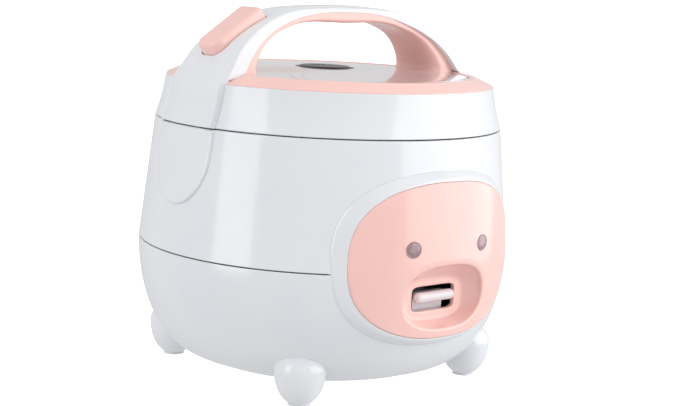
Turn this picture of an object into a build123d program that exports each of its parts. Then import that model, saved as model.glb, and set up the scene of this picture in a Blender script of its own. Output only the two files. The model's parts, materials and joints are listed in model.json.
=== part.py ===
"""A small round rice cooker with a carrying strap over its hinged lid.

Frame: origin on the floor at the centre of the four feet, +Z up, the face panel towards -Y,
the lid hinge at +X and the lid release button at -X. Millimetres.
"""
import os

from math import cos, pi, radians, sin, sqrt

from build123d import *

# ---- overall sizes -------------------------------------------------------------------
body_radius = 118.0  # widest radius of the housing, at the waist seam
foot_clearance = 12.5  # floor to the flat bottom
bowl_height = 71.5  # flat bottom to the waist seam
upper_height = 76.5  # waist seam to the lid seam
skirt_height = 25.9  # lid seam to the coloured rim
strap_rise = 46.6  # coloured rim to the top of the carrying strap

# ---- housing ---------------------------------------------------------------------------
wall = 2.5  # plastic wall of the housing
seam_gap = 0.5  # shadow gap at each seam
flat_inset = 38.0  # the flat bottom's edge, inside the widest radius
upper_taper = 8.3  # how much the radius drops between the waist and the lid seam
skirt_taper = 6.0  # how much it drops between the lid seam and the rim
lip_height = 6.0  # locating lip inside the waist seam
lip_wall = 2.2
fit_gap = 0.3  # clearance between pieces that do not touch
slip = 0.05  # radial clearance of a pin in its bearing
tongue_half = 27.0  # half width of the raised tongues
tongue_proud = 2.0  # how far a tongue stands out of the housing
tongue_drop = 47.0  # lid seam to the tongue's rounded lower end
tongue_round = 34.0  # height of that rounded end

# ---- jacket, pot and heater ------------------------------------------------------------
jacket = 32.0  # widest radius of the housing to the outside of the pot well
sheet = 0.8  # sheet metal of the well, shield and brackets
pot_gap = 5.0  # well wall to the pot wall
pot_wall = 1.6
pot_flange = 9.0  # how far the pot's rim reaches past its wall
pot_corner = 12.0  # rounded bottom corner of the pot
well_floor = 31.5  # flat bottom of the housing to the well's floor
heater_thickness = 10.0
groove_depth = 6.0  # the element's groove under the heater
heater_gap = 3.0  # well floor to the heater
heater_inset = 12.0  # the heater's edge inside the pot wall
lid_drop = 6.5  # lid seam down to the pot's rim
thermostat_radius = 16.0
cup_wall = 1.0
ferrite_height = 7.0
magnet_gap = 6.2  # magnet up to the ferrite
magnet_height = 6.0
magnet_bore = 3.0  # radius of the hole through the magnet and the ferrite
guide_drop = 12.0  # well floor down to the thermostat guide's seat
guide_wall = 1.0
fork_drop = 20.8  # well floor down to the top of the lever's fork
element_radius = 3.4
element_share = 0.7  # the element's ring, as a part of the heater's radius
rod_lift_gap = 0.8  # lever's fork to the rod's collar
post_radius = 4.0
gutter_wall = 2.8
gutter_depth = 8.5  # lid seam to the gutter's floor
collar_lap = 1.5  # the collar's inner edge inside the pot's flange

# ---- feet ------------------------------------------------------------------------------
foot_offset = 51.5  # widest radius to a foot's centre, in X and in Y
foot_radius = 16.8
foot_pad_radius = 7.0
foot_height = 40.0
screw_radius = 1.5
head_radius = 2.9
head_height = 2.2
boss_radius = 4.5
boss_height = 15.5  # flat bottom up to the top of a foot's boss
screw_gap = 0.2  # radial clearance of a screw in a through hole

# ---- face panel ------------------------------------------------------------------------
panel_radius = 2.0  # the panel's crown outside the widest radius
panel_sag = 3.0  # how much further in its top and bottom edges lie
panel_wall = 2.4
panel_half_width = 63.5
panel_half_height = 46.5
panel_rise = 6.5  # waist seam up to the panel's centre
bezel_side = 6.5  # width of the ring at the sides of the panel
bezel_end = 5.5  # width of the ring above and below it
bezel_step = 0.9  # the ring lies this far inside the panel's surface
outline_power = 2.5  # roundness of the panel's outline
scoop_half_width = 31.0
scoop_half_height = 18.8
scoop_drop = 21.9  # panel centre down to the scoop's centre
scoop_depth = 14.0
scoop_wall = 1.8
plate_half_width = 23.0
plate_half_height = 13.0
plate_drop = 3.0  # the scoop's floor is this far below the scoop's centre
slot_half_width = 17.0
slot_half_height = 7.6
slot_corner = 2.6
lens_spacing = 55.4
lens_rise = 8.1  # panel centre up to the lenses
lens_radius = 5.0
lens_length = 7.0
lens_proud = 0.3

# ---- cook lever ------------------------------------------------------------------------
lever_pivot_y = 60.0  # widest radius in to the lever's pivot
lever_pivot_z = 23.5  # flat bottom up to the lever's pivot
lever_pin_radius = 2.0
lever_width = 8.0
bracket_sheet = 1.2
paddle_half_width = 14.5
paddle_radius = 3.2
paddle_reach = 3.6  # the paddle's nose stands this far out of the scoop's floor

# ---- lid -------------------------------------------------------------------------------
skirt_wall = 2.2
lid_fit = 1.2  # the skirt's inner face to the liner's edge
rim_inset = 0.4  # coloured rim's edge inside the skirt
rim_rise = 5.4  # height of the rim's bevel
rim_bevel = 11.2  # width of the rim's bevel
insert_radius = 90.5
insert_rise = 2.0  # crown of the decorated insert
insert_wall = 1.6
seat_dip = 0.4  # the insert's edge below the rim's top edge
lid_hollow = 54.0  # radius of the hollow under the insert's seat
vent_offset = 6.0  # the steam vent behind the lid's centre
vent_radius = 18.5
tube_radius = 13.0
tube_wall = 1.6
liner_wall = 2.2
liner_gap = 2.4  # gutter wall to the liner's step
liner_step = 3.2  # lid seam down to the underside of the liner's step
liner_leaf = 10.0  # the hinge screws inside the liner's edge
plate_thickness = 0.8
plate_inset = 1.5  # the inner plate's edge inside the pot's flange
plate_gap = 0.2  # liner down to the inner plate
gasket_half = 2.6

# ---- carrying strap --------------------------------------------------------------------
strap_inset = 3.8  # the strap's ends inside the skirt's top edge
strap_mid_half = 15.5
strap_end_half = 27.0
strap_screw_share = 0.79  # the strap's screws, as a part of its half length
strap_screw_y = 13.0
shaft_half = 6.0  # half width of the latch's shaft through the leg and the lid

# ---- latch -----------------------------------------------------------------------------
button_half_length = 21.0
button_half_width = 11.0
button_proud = 7.5
button_sunk = 4.0
button_travel = 2.5
button_gap = 0.35
button_round = 2.0
hook_pivot_in = 12.2  # lid seam's radius in to the hook's pivot
hook_pivot_up = 15.5  # lid seam up to the hook's pivot
hook_half = 5.0
hook_pin_radius = 1.5
strike_height = 5.0
strike_sheet = 1.2
latch_slot_half = 6.5  # half width of the hook's slot in the liner, collar and housing

# ---- hinge -----------------------------------------------------------------------------
hinge_out = 1.3  # the hinge pin outside the lid seam's radius
hinge_down = 5.5  # the hinge pin below the lid seam
hinge_pin_radius = 2.0
knuckle_radius = 4.8
knuckle_half = 12.3
ear_outer = 18.2
leaf_sheet = 2.4
leaf_screw_y = 7.0

# ---- power inlet -----------------------------------------------------------------------
inlet_half_width = 14.0
inlet_half_height = 10.0
inlet_depth = 24.0
inlet_rise = 34.0  # flat bottom up to the inlet's centre
inlet_flange = 4.0
socket_half_width = 12.0
socket_half_height = 8.2
socket_depth = 16.0
blade_length = 10.5

# ---- levels and radii that follow ------------------------------------------------------
z_bottom = foot_clearance
z_waist = z_bottom + bowl_height
z_seam = z_waist + upper_height
z_rim = z_seam + skirt_height
z_lid = z_rim + rim_rise
z_top = z_rim + strap_rise
flat_radius = body_radius - flat_inset
seam_radius = body_radius - upper_taper
rim_radius = seam_radius - skirt_taper
well_radius = body_radius - jacket
pot_radius = well_radius - sheet - pot_gap
flange_radius = pot_radius + pot_flange
z_well = z_bottom + well_floor
z_heater = z_well + heater_gap
z_pot = z_heater + heater_thickness + fit_gap
z_pot_top = z_seam - lid_drop
z_gutter = z_seam - gutter_depth
gutter_radius = seam_radius - wall - 3.4
step_radius = gutter_radius - gutter_wall - liner_gap
z_panel = z_waist + panel_rise
crown = body_radius + panel_radius
z_scoop = z_panel - scoop_drop
z_plate = z_scoop - plate_drop
y_plate = -(crown - scoop_depth)
foot_centre = body_radius - foot_offset
hinge_x = seam_radius + hinge_out
hinge_z = z_seam - hinge_down
z_insert = z_lid - seat_dip
z_boss = z_bottom + boss_height
z_cover = z_bottom - wall
z_heater_top = z_heater + heater_thickness
z_guide = z_well - guide_drop
z_fork = z_well - fork_drop
z_magnet = z_heater_top - cup_wall - ferrite_height - magnet_gap
z_inlet = z_bottom + inlet_rise
z_liner = z_seam + seam_gap
z_step = z_seam - liner_step
z_inner_plate = z_step - plate_gap
z_strike = z_gutter + strike_height
heater_radius = pot_radius - heater_inset
ring_radius = heater_radius * element_share
liner_radius = seam_radius - skirt_wall - lid_fit
inner_plate_radius = flange_radius - plate_inset
screw_hole = screw_radius + screw_gap
strap_half = rim_radius - strap_inset
hook_x = -(seam_radius - hook_pivot_in)
hook_z = z_seam + hook_pivot_up
lever_y = -(body_radius - lever_pivot_y)
lever_z = z_bottom + lever_pivot_z

# The strap's side view: how far along and how high, as parts of its half length and rise.
COVER_LAW = ((0.0, 1.0), (0.47, 0.931), (0.77, 0.657), (0.92, 0.399), (1.0, 0.109))
SEAM_LAW = ((0.0, 0.908), (0.414, 0.807), (0.71, 0.506), (0.784, 0.356), (0.855, 0.142))
OPENING_LAW = ((0.0, 0.764), (0.42, 0.721), (0.62, 0.521), (0.72, 0.227))


# ---- helpers ---------------------------------------------------------------------------
def side(*points):
    """A closed outline in the XZ plane: (x or radius, z)."""
    return make_face(Plane.XZ * Polyline(*points, close=True))


def turned(*points):
    """A solid turned about Z from a closed outline of (radius, z)."""
    return revolve(side(*points), Axis.Z)


def bar(x0, x1, y0, y1, z0, z1):
    """A block between two corners."""
    block = Box(x1 - x0, y1 - y0, z1 - z0)
    return Pos((x0 + x1) / 2, (y0 + y1) / 2, (z0 + z1) / 2) * block


def rod(radius, x, y, z0, z1):
    """An upright round bar."""
    return Pos(x, y, (z0 + z1) / 2) * Cylinder(radius, z1 - z0)


def cross_pin(radius, x, z, y0, y1):
    """A round bar along Y."""
    return Pos(x, (y0 + y1) / 2, z) * Rot(90, 0, 0) * Cylinder(radius, y1 - y0)


def axle(radius, y, z, x0, x1):
    """A round bar along X."""
    return Pos((x0 + x1) / 2, y, z) * Rot(0, 90, 0) * Cylinder(radius, x1 - x0)


def slab(outline, y0, y1):
    """A face in the XZ plane, thickened from y0 to y1."""
    return Pos(0, y1, 0) * extrude(outline, y1 - y0, dir=(0, -1, 0))


def superellipse(half_width, half_height, z, power=outline_power, count=32):
    """A rounded outline in the XZ plane, centred on X = 0."""
    points = []
    for step in range(count):
        turn = 2 * pi * step / count
        c = cos(turn)
        s = sin(turn)
        across = half_width * abs(c) ** (2 / power) * (1 if c > 0 else -1)
        up = half_height * abs(s) ** (2 / power) * (1 if s > 0 else -1)
        points.append((across, z + up))
    return Plane.XZ * Spline(*points, periodic=True)


def coil(x, y, z, radius, wire, pitch, height, direction):
    """A helical spring that starts at a point and runs along a direction."""
    path = Helix(pitch, height, radius, center=(x, y, z), direction=direction)
    return sweep(Plane(path @ 0, z_dir=path % 0) * Circle(wire), path=path)


def bowl(inset=0.0, top=0.0):
    """The solid inside the housing's lower half: a flat bottom and a quarter ellipse."""
    arc = EllipticalCenterArc(
        (flat_radius, z_waist), flat_inset - inset, bowl_height - inset, start_angle=270, arc_size=90
    )
    start = arc @ 0
    end = arc @ 1
    lid = z_waist + top
    rest = Polyline((end.X, end.Y), (end.X, lid), (0, lid), (0, start.Y), (start.X, start.Y))
    edges = [arc] + [edge for edge in rest.edges()]
    return revolve(make_face(Plane.XZ * Curve(edges)), Axis.Z)


def upper_radius(z):
    """The housing's outer radius between the waist and the lid seam."""
    return body_radius - upper_taper * (z - z_waist) / upper_height


def skirt_radius(z):
    """The lid skirt's outer radius between the lid seam and the rim."""
    part = (z - z_seam) / skirt_height
    return seam_radius - skirt_taper * (1.5 * part - 0.5 * part * part)


def cone(r0, z0, r1, z1):
    """A solid cone frustum between two radii and levels."""
    return turned((0, z0), (r0, z0), (r1, z1), (0, z1))


def tongue(direction):
    """A prism with the tongue's outline, on the -X (-1) or the +X (1) side."""
    z_round = z_seam - tongue_drop + tongue_round
    rounding = Pos(0, z_round) * Ellipse(tongue_half, tongue_round)
    strip = Pos(0, (z_round + z_rim) / 2) * Rectangle(2 * tongue_half, z_rim - z_round)
    prism = extrude(Plane.YZ * (rounding + strip), body_radius + 10, dir=(1, 0, 0))
    if direction < 0:
        prism = mirror(prism, about=Plane.YZ)
    return prism


def panel_outline():
    return superellipse(panel_half_width, panel_half_height, z_panel)


def bezel_outline():
    return superellipse(panel_half_width + bezel_side, panel_half_height + bezel_end, z_panel)


def face_prism(outline):
    """A prism through the front of the housing with the given outline."""
    return slab(make_face(outline), -(crown + 10), -(body_radius * 0.55))


def barrel(inset):
    """A solid of the panel's barrel-shaped surface, moved in by inset."""
    low = z_panel - panel_half_height - bezel_end - 1
    high = z_panel + panel_half_height + bezel_end + 1
    edge = crown - panel_sag - inset
    arc = ThreePointArc((edge, low), (crown - inset, z_panel), (edge, high))
    rest = Polyline((edge, high), (0, high), (0, low), (edge, low))
    return revolve(make_face(Plane.XZ * Curve([arc] + list(rest.edges()))), Axis.Z)


def law_points(law, stretch=0.0):
    """Both halves of a strap curve, left to right, in the XZ plane."""
    right = [(strap_half * a, z_rim + strap_rise * b + stretch) for a, b in law]
    left = [(-x, z) for x, z in reversed(right[1:])]
    return left + right


def under_curve(law):
    """The solid outline under a strap curve, down to the skirt's top."""
    points = law_points(law)
    curve = Spline(*points)
    ends = Polyline(points[-1], (points[-1][0], z_rim - 1), (points[0][0], z_rim - 1), points[0])
    return make_face(Plane.XZ * Curve([curve] + list(ends.edges())))


def strap_plan():
    """The strap seen from above: narrow in the middle, wide at its ends."""
    waist = strap_half * 0.4
    shoulder = (strap_mid_half + strap_end_half) / 2
    points = [
        (-strap_half - 1, strap_end_half),
        (-strap_half * 0.8, shoulder),
        (-waist, strap_mid_half),
        (waist, strap_mid_half),
        (strap_half * 0.8, shoulder),
        (strap_half + 1, strap_end_half),
    ]
    far = Spline(*points)
    near = mirror(far, about=Plane.XZ)
    left = Line(near @ 0, far @ 0)
    right = Line(far @ 1, near @ 1)
    plan = make_face(Curve([far, right, near, left]))
    return Pos(0, 0, z_rim - 5) * extrude(plan, strap_rise + 20, dir=(0, 0, 1))


def strap_solid(law):
    """Everything under a strap curve, inside the strap's plan."""
    return slab(under_curve(law), -strap_end_half - 3, strap_end_half + 3) & strap_plan()


def lid_top_solid():
    """The closed outer shape of the coloured lid top."""
    outer = rim_radius - rim_inset
    return turned(
        (0, z_rim), (outer, z_rim), (outer - rim_bevel, z_lid), (insert_radius, z_insert), (0, z_insert)
    )


# ---- the button's own frame ------------------------------------------------------------
button_low = (COVER_LAW[3][0] * strap_half + 4.0, z_rim + strap_rise * 0.30)
button_high = (strap_half * 0.58, z_rim + strap_rise * 0.861)
button_run = button_low[0] - button_high[0]
button_climb = button_high[1] - button_low[1]
button_chord = sqrt(button_run**2 + button_climb**2)
button_along = (button_run / button_chord, button_climb / button_chord)
button_out = (-button_along[1], button_along[0])
button_mid = (-(button_low[0] + button_high[0]) / 2, (button_low[1] + button_high[1]) / 2)


def on_slope(along, out):
    """A point (x, z) on the strap's slope, from its middle along it and out of it."""
    x = button_mid[0] + button_along[0] * along + button_out[0] * out
    z = button_mid[1] + button_along[1] * along + button_out[1] * out
    return (x, z)


def slope_block(a0, a1, o0, o1, half):
    """A block on the strap's slope."""
    return slab(side(on_slope(a0, o0), on_slope(a1, o0), on_slope(a1, o1), on_slope(a0, o1)), -half, half)


stem_along = -button_half_length + 5.0
hook_arm_end = on_slope(stem_along, -13.2)


def latch_shaft():
    """The space inside the strap's leg and the lid for the button's stem and the hook's arm."""
    reach = (hook_arm_end[0] + 4.5, hook_arm_end[1] + 3)
    foot = (hook_arm_end[0] + 3.5, z_rim - 6)
    back = (hook_x + 2.6, z_rim - 6)
    rise = (hook_x + 2.6, z_lid + 2)
    high = on_slope(stem_along + 4.5, -4)
    low = on_slope(stem_along - 3.4, -4)
    return slab(side(high, reach, foot, back, rise, low), -shaft_half, shaft_half)


# ---- base ------------------------------------------------------------------------------
def feet_places():
    return [(sx * foot_centre, sy * foot_centre) for sx in (-1, 1) for sy in (-1, 1)]


def make_base_shell():
    shell = bowl() - bowl(inset=wall, top=1)
    shell = shell - Pos(0, 0, z_waist) * Cylinder(body_radius + 5, seam_gap)
    lip_out = body_radius - wall - upper_taper * lip_height / upper_height - fit_gap
    lip = turned(
        (lip_out - lip_wall, z_waist - lip_height),
        (body_radius - wall, z_waist - lip_height),
        (body_radius - wall, z_waist - seam_gap / 2),
        (lip_out, z_waist),
        (lip_out, z_waist + lip_height),
        (lip_out - lip_wall, z_waist + lip_height),
    )
    shell = shell + lip
    for x, y in feet_places():
        shell = shell + (rod(boss_radius, x, y, z_bottom, z_boss) & bowl())
    boss_front = body_radius - 14
    boss_block = bar(
        -inlet_half_width - inlet_flange,
        inlet_half_width + inlet_flange,
        boss_front,
        crown - 2,
        z_inlet - inlet_half_height - inlet_flange,
        z_inlet + inlet_half_height + inlet_flange,
    )
    shell = shell + (boss_block - bowl(inset=wall, top=1))
    shell = shell - inlet_cutter()
    shell = shell - Pos(0, 0, z_bottom + wall / 2) * Cylinder(flat_radius - 14, wall * 3)
    shell = shell - face_prism(bezel_outline())
    for x, y in feet_places():
        shell = shell - rod(screw_hole, x, y, z_bottom, z_boss + 1)
    for x, y in cover_screws():
        shell = shell - rod(screw_radius, x, y, z_bottom - 1, z_bottom + wall + 1)
    return shell


def cover_screws():
    radius = flat_radius - 8
    return [(radius * cos(radians(a)), radius * sin(radians(a))) for a in (45, 135, 225, 315)]


def make_bottom_cover():
    cover = turned((0, z_cover), (flat_radius - 3, z_cover), (flat_radius - 2, z_bottom), (0, z_bottom))
    for ring in (24, 34, 44):
        for turn in range(0, 360, 30):
            x = ring * cos(radians(turn))
            y = ring * sin(radians(turn))
            slot = Pos(x, y, z_cover) * Rot(0, 0, turn) * Box(6, 2.4, 4 * wall)
            cover = cover - slot
    for x, y in cover_screws():
        cover = cover - rod(screw_hole, x, y, z_cover - 1, z_bottom + 1)
        cover = cover - rod(head_radius + 0.4, x, y, z_cover - 1, z_cover + 1.0)
    return cover


def screw(x, y, z, length, up=1):
    """A pan-head screw: its head's seat at z, its shank running up (1) or down (-1)."""
    shank = rod(screw_radius, x, y, min(z, z + up * length), max(z, z + up * length))
    head = rod(head_radius, x, y, min(z, z - up * head_height), max(z, z - up * head_height))
    cross = Pos(x, y, z - up * head_height) * (Box(3.4, 0.8, 1.6) + Box(0.8, 3.4, 1.6))
    return shank + head - cross


def make_cover_screws():
    return Compound([screw(x, y, z_cover + 1.0, 6.0) for x, y in cover_screws()])


def foot_shape():
    """An egg standing on a small flat pad."""
    widest = 23.0 + (foot_height - 40.0)
    low = ThreePointArc(
        (foot_pad_radius, 0), (foot_radius * 0.83, widest * 0.46), (foot_radius, widest)
    )
    high = EllipticalCenterArc((0, widest), foot_radius, foot_height - widest, start_angle=0, arc_size=90)
    rest = Polyline((0, foot_height), (0, 0), (foot_pad_radius, 0))
    return revolve(make_face(Plane.XZ * Curve([low, high] + list(rest.edges()))), Axis.Z)


def make_foot(turn):
    """One foot, cut to the bowl, then turned about the housing's axis to its place."""
    foot = Pos(foot_centre, foot_centre, 0) * foot_shape() - bowl()
    foot = foot - rod(screw_radius, foot_centre, foot_centre, z_bottom - 6, z_boss)
    return Rot(0, 0, turn) * foot


def make_foot_screws():
    return Compound([screw(x, y, z_boss, 20.0, up=-1) for x, y in feet_places()])


# ---- upper housing ---------------------------------------------------------------------
def hinge_cutter(grow=0.2):
    return bar(
        seam_radius - wall - 3.0,
        body_radius + 5,
        -ear_outer - grow,
        ear_outer + grow,
        z_seam - 12.7,
        z_seam + 1,
    )


def make_body_shell():
    z0 = z_waist + seam_gap / 2
    z1 = z_seam - seam_gap / 2
    outer = cone(upper_radius(z0), z0, upper_radius(z1), z1)
    proud = cone(upper_radius(z0) + tongue_proud, z0, upper_radius(z1) + tongue_proud, z1)
    outer = outer + (proud & tongue(-1)) + (proud & tongue(1))
    inner = cone(upper_radius(z0) - wall, z0 - 1, upper_radius(z1) - wall, z1 + 1)
    lip = turned(
        (gutter_radius + 0.2, z1 - wall),
        (seam_radius - wall / 2, z1 - wall),
        (seam_radius - wall / 2, z1),
        (gutter_radius + 0.2, z1),
    )
    shell = outer - inner + lip
    shell = shell - face_prism(bezel_outline())
    shell = shell - hinge_cutter()
    half = latch_slot_half
    return shell - bar(-seam_radius + wall, -seam_radius + 16, -half, half, z_seam - 6, z_seam + 1)


def make_rim_collar():
    inner = flange_radius - collar_lap
    collar = turned(
        (inner, z_gutter - wall),
        (gutter_radius, z_gutter - wall),
        (gutter_radius, z_seam - seam_gap / 2),
        (gutter_radius - gutter_wall, z_seam - seam_gap / 2),
        (gutter_radius - gutter_wall, z_gutter),
        (inner, z_gutter),
    )
    half = latch_slot_half
    return collar - bar(-seam_radius, -gutter_radius + 6, -half, half, z_gutter, z_seam + 1)


def make_pot_well():
    top = z_gutter - wall
    well = turned(
        (0, z_well),
        (well_radius, z_well),
        (well_radius, top - sheet),
        (gutter_radius - 2, top - sheet),
        (gutter_radius - 2, top),
        (well_radius - sheet, top),
        (well_radius - sheet, z_well + sheet),
        (0, z_well + sheet),
    )
    return well - Pos(0, 0, z_well) * Cylinder(thermostat_radius + 6, 4)


def post_places():
    radius = flat_radius - 5.5
    return [(radius * cos(radians(a)), radius * sin(radians(a))) for a in (20, 160, 90)]


def make_well_posts():
    return Compound([rod(post_radius, x, y, z_bottom + wall, z_well) for x, y in post_places()])


def make_heat_shield():
    """A dished sheet under the well that keeps the heat off the bottom."""
    z = z_well - 9
    shield = turned((32, z), (flat_radius - 16, z), (flat_radius - 16, z + sheet), (32, z + sheet))
    return shield - bar(-11, 11, -flat_radius, -20, z - 1, z + 2)


# ---- heating ---------------------------------------------------------------------------
def make_heater_plate():
    hole = thermostat_radius + 1
    plate = rod(heater_radius, 0, 0, z_heater, z_heater_top) - rod(hole, 0, 0, z_heater - 1, z_heater_top + 1)
    low = z_heater - 1
    high = z_heater + groove_depth
    near = ring_radius - 4
    far = ring_radius + 4
    groove = turned((near, low), (far, low), (far, high), (near, high))
    return plate - groove


def make_heater_element():
    """The tubular element, nearly a full ring, in the plate's groove."""
    ring = Pos(0, 0, z_heater + groove_depth - element_radius - 0.1) * Torus(ring_radius, element_radius)
    gap = bar(-9, 9, 0, heater_radius, z_heater - 6, z_heater + 6)
    return ring - gap


def make_heater_terminals():
    near = ring_radius - 4
    far = ring_radius + 4
    return Compound([bar(x - 3, x + 3, near, far, z_well - 4, z_well - 0.2) for x in (-16, 16)])


def make_heater_feet():
    """Ceramic-coated spacers between the plate and the well's floor."""
    radius = heater_radius * 0.45
    spots = [(radius * cos(radians(a)), radius * sin(radians(a))) for a in (30, 150, 270)]
    return Compound([rod(4, x, y, z_well + sheet, z_heater) for x, y in spots])


def make_thermostat_cup():
    top = z_heater_top
    low = z_well - 1
    r = thermostat_radius
    t = cup_wall
    return turned(
        (0, top - t), (0, top), (r - t, top), (r, top - t), (r, low), (r - t, low), (r - t, top - t)
    )


def make_ferrite():
    """The temperature-sensitive core fixed inside the thermostat cup."""
    top = z_heater_top - cup_wall
    low = top - ferrite_height
    return turned((magnet_bore, low), (12, low), (12, top), (magnet_bore, top))


def make_thermostat_guide():
    """The fixed tube that the thermostat's cup slides in, on the well's floor."""
    t = guide_wall
    bore = magnet_bore + 1.2
    inner = thermostat_radius + 2.2
    flange = inner + 4.8
    return turned(
        (bore, z_guide), (inner, z_guide), (inner, z_well), (flange, z_well), (flange, z_well - t),
        (inner + t, z_well - t), (inner + t, z_guide - t), (bore, z_guide - t),
    )


def make_thermostat_spring():
    """The large spring that lifts the cup against the pot."""
    start = z_guide + 0.7
    end = z_heater_top - cup_wall - 0.7
    return coil(0, 0, start, 13.4, 0.6, 4.6, end - start, (0, 0, 1))


def make_magnet():
    low = z_magnet - magnet_height
    return turned((magnet_bore, low), (10.5, low), (10.5, z_magnet), (magnet_bore, z_magnet))


def make_magnet_rod():
    """The rod under the magnet, with the collar that the lever lifts."""
    low = z_fork + rod_lift_gap
    r = magnet_bore
    return turned((0, low), (7, low), (7, low + 1.5), (r, low + 1.5), (r, z_magnet), (0, z_magnet))


def make_thermal_fuse():
    z = z_well - 2.8
    return Pos(-44, 30, z) * Rot(0, 90, 30) * Cylinder(2.6, 26)


def make_warm_thermostat():
    """The disc thermostat that keeps the rice warm."""
    z = z_well - 4.3
    return rod(8, 46, 30, z, z_well) + bar(36, 56, 27, 33, z - 1, z)


# ---- pot -------------------------------------------------------------------------------
def make_inner_pot():
    r = pot_radius
    c = pot_corner
    k = 1 - sqrt(0.5)
    outer = [Line((0, z_pot), (r - c, z_pot))]
    outer.append(ThreePointArc((r - c, z_pot), (r - c * k, z_pot + c * k), (r, z_pot + c)))
    t = pot_wall
    z1 = z_pot_top
    q = c - t
    flange = Polyline(
        (r, z_pot + c), (r, z1 - t), (flange_radius, z1 - t), (flange_radius, z1),
        (r - t, z1), (r - t, z_pot + c),
    )
    inner = ThreePointArc((r - t, z_pot + c), (r - t - q * k, z_pot + t + q * k), (r - c, z_pot + t))
    floor = Polyline((r - c, z_pot + t), (0, z_pot + t), (0, z_pot))
    edges = outer + list(flange.edges()) + [inner] + list(floor.edges())
    return revolve(make_face(Plane.XZ * Curve(edges)), Axis.Z)


# ---- face ------------------------------------------------------------------------------
def lens_places():
    turn = (lens_spacing / 2) / crown
    return [-turn, turn]


def lens_bore(turn, radius, r0, r1):
    """A round bar out of the panel at an angle from -Y, between two distances from the axis."""
    mid = (r0 + r1) / 2
    place = Pos(mid * sin(turn), -mid * cos(turn), z_panel + lens_rise)
    return place * Rot(0, 0, turn * 180 / pi) * Rot(90, 0, 0) * Cylinder(radius, r1 - r0)


def plate_outline(grow):
    """The flat floor of the recess, grown outwards by a wall."""
    return superellipse(plate_half_width + grow, plate_half_height + grow, z_plate, power=3.5)


def scoop_solid(grow):
    """The tapered recess in the face, grown outwards by a wall."""
    mouth = superellipse(scoop_half_width + grow, scoop_half_height + grow, z_scoop)
    floor = plate_outline(grow)
    y_mouth = -(crown + 1)
    return loft([Pos(0, y_mouth, 0) * make_face(mouth), Pos(0, y_plate, 0) * make_face(floor)], ruled=True)


def make_face_panel():
    skin = barrel(0) - barrel(panel_wall)
    skin = skin & face_prism(panel_outline())
    plate = plate_outline(scoop_wall)
    cup = (scoop_solid(scoop_wall) & barrel(0.3)) + slab(make_face(plate), y_plate, y_plate + scoop_wall)
    panel = skin + cup - scoop_solid(0)
    slot = RectangleRounded(2 * slot_half_width, 2 * slot_half_height, slot_corner)
    panel = panel - slab(Plane.XZ * (Pos(0, z_plate) * slot), y_plate - 3, y_plate + 6)
    for turn in lens_places():
        panel = panel - lens_bore(turn, lens_radius + 0.1, crown - 12, crown + 4)
    return panel


def make_face_bezel():
    ring = barrel(bezel_step) - barrel(bezel_step + 14)
    ring = ring & (face_prism(bezel_outline()) - face_prism(panel_outline()))
    backing = (barrel(panel_wall) - barrel(panel_wall + 1.6)) & face_prism(panel_outline())
    hole = face_prism(superellipse(panel_half_width - 2.5, panel_half_height - 2.5, z_panel))
    return ring + (backing - hole)


def make_lens(turn):
    return lens_bore(turn, lens_radius, crown - lens_length, crown + lens_proud)


def make_indicator_board():
    y = -(crown - 17.5)
    z = z_panel + lens_rise
    half = lens_spacing / 2 + 7
    return bar(-half, half, y, y + 1.6, z - 7, z + 7)


def make_lamp(turn):
    x = crown * sin(turn)
    y0 = -(crown - 11.5)
    y1 = -(crown - 17.5)
    z = z_panel + lens_rise
    return Pos(x, (y0 + y1) / 2, z) * Rot(90, 0, 0) * Cylinder(2.4, y1 - y0)


# ---- cook lever ------------------------------------------------------------------------
def make_cook_lever():
    """One rigid lever: a paddle in the face's slot, an arm to the pivot and a fork at the magnet."""
    nose_y = y_plate - paddle_reach + paddle_radius
    nose_z = z_plate + 1.2
    paddle = axle(paddle_radius, nose_y, nose_z, -paddle_half_width + 2, paddle_half_width - 2)
    for x in (-paddle_half_width + 2, paddle_half_width - 2):
        paddle = paddle + Pos(x, nose_y, nose_z) * Sphere(paddle_radius)
    neck = bar(-12, 12, nose_y, y_plate + 7.5, nose_z - 2, nose_z + 2)
    back_y = y_plate + 6.3
    apron = bar(-12, 12, back_y - 1.2, back_y + 1.2, z_plate - 13, nose_z + 2)
    half = lever_width / 2
    outline = Polyline(
        (back_y - 1.2, z_plate - 9),
        (back_y + 1.2, z_plate - 9),
        (back_y + 6, lever_z + 4),
        (lever_y + 4, lever_z + 4),
        (-12, z_fork),
        (-12, z_fork - 2.2),
        (lever_y - 4, lever_z - 5),
        (back_y - 1.2, lever_z + 2),
        close=True,
    )
    arm = Pos(-half, 0, 0) * extrude(make_face(Plane.YZ * outline), lever_width, dir=(1, 0, 0))
    fork = bar(-7.5, 7.5, -13, 8, z_fork - 2.2, z_fork)
    fork = fork - Pos(0, -1.2, z_fork) * Cylinder(3.8, 12)
    fork = fork - bar(-3.8, 3.8, -1.2, 20, z_fork - 6, z_fork + 6)
    lever = paddle + neck + apron + arm + fork
    return lever - axle(lever_pin_radius + slip, lever_y, lever_z, -20, 20)


def make_lever_pin():
    return axle(lever_pin_radius, lever_y, lever_z, -9, 9)


def make_lever_bracket():
    """Two steel ears on a foot, either side of the lever."""
    z0 = z_bottom
    x0 = lever_width / 2 + 1
    ears = []
    for sign in (-1, 1):
        near = sign * x0
        far = sign * (x0 + bracket_sheet)
        ear = bar(min(near, far), max(near, far), lever_y - 6, lever_y + 6, z0, lever_z + 4)
        ears.append(ear)
    reach = x0 + bracket_sheet
    foot = bar(-reach, reach, lever_y - 6, lever_y + 6, z0, z0 + bracket_sheet)
    bracket = foot + ears[0] + ears[1]
    return bracket - axle(lever_pin_radius, lever_y, lever_z, -20, 20)


def make_micro_switch():
    z0 = z_bottom + wall
    y = -(flat_radius - 1)
    return bar(-5, 5, y, y + 12, z0, z0 + 12) + bar(-2, 2, y + 3, y + 6, z0 + 12, z0 + 14.5)


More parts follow.
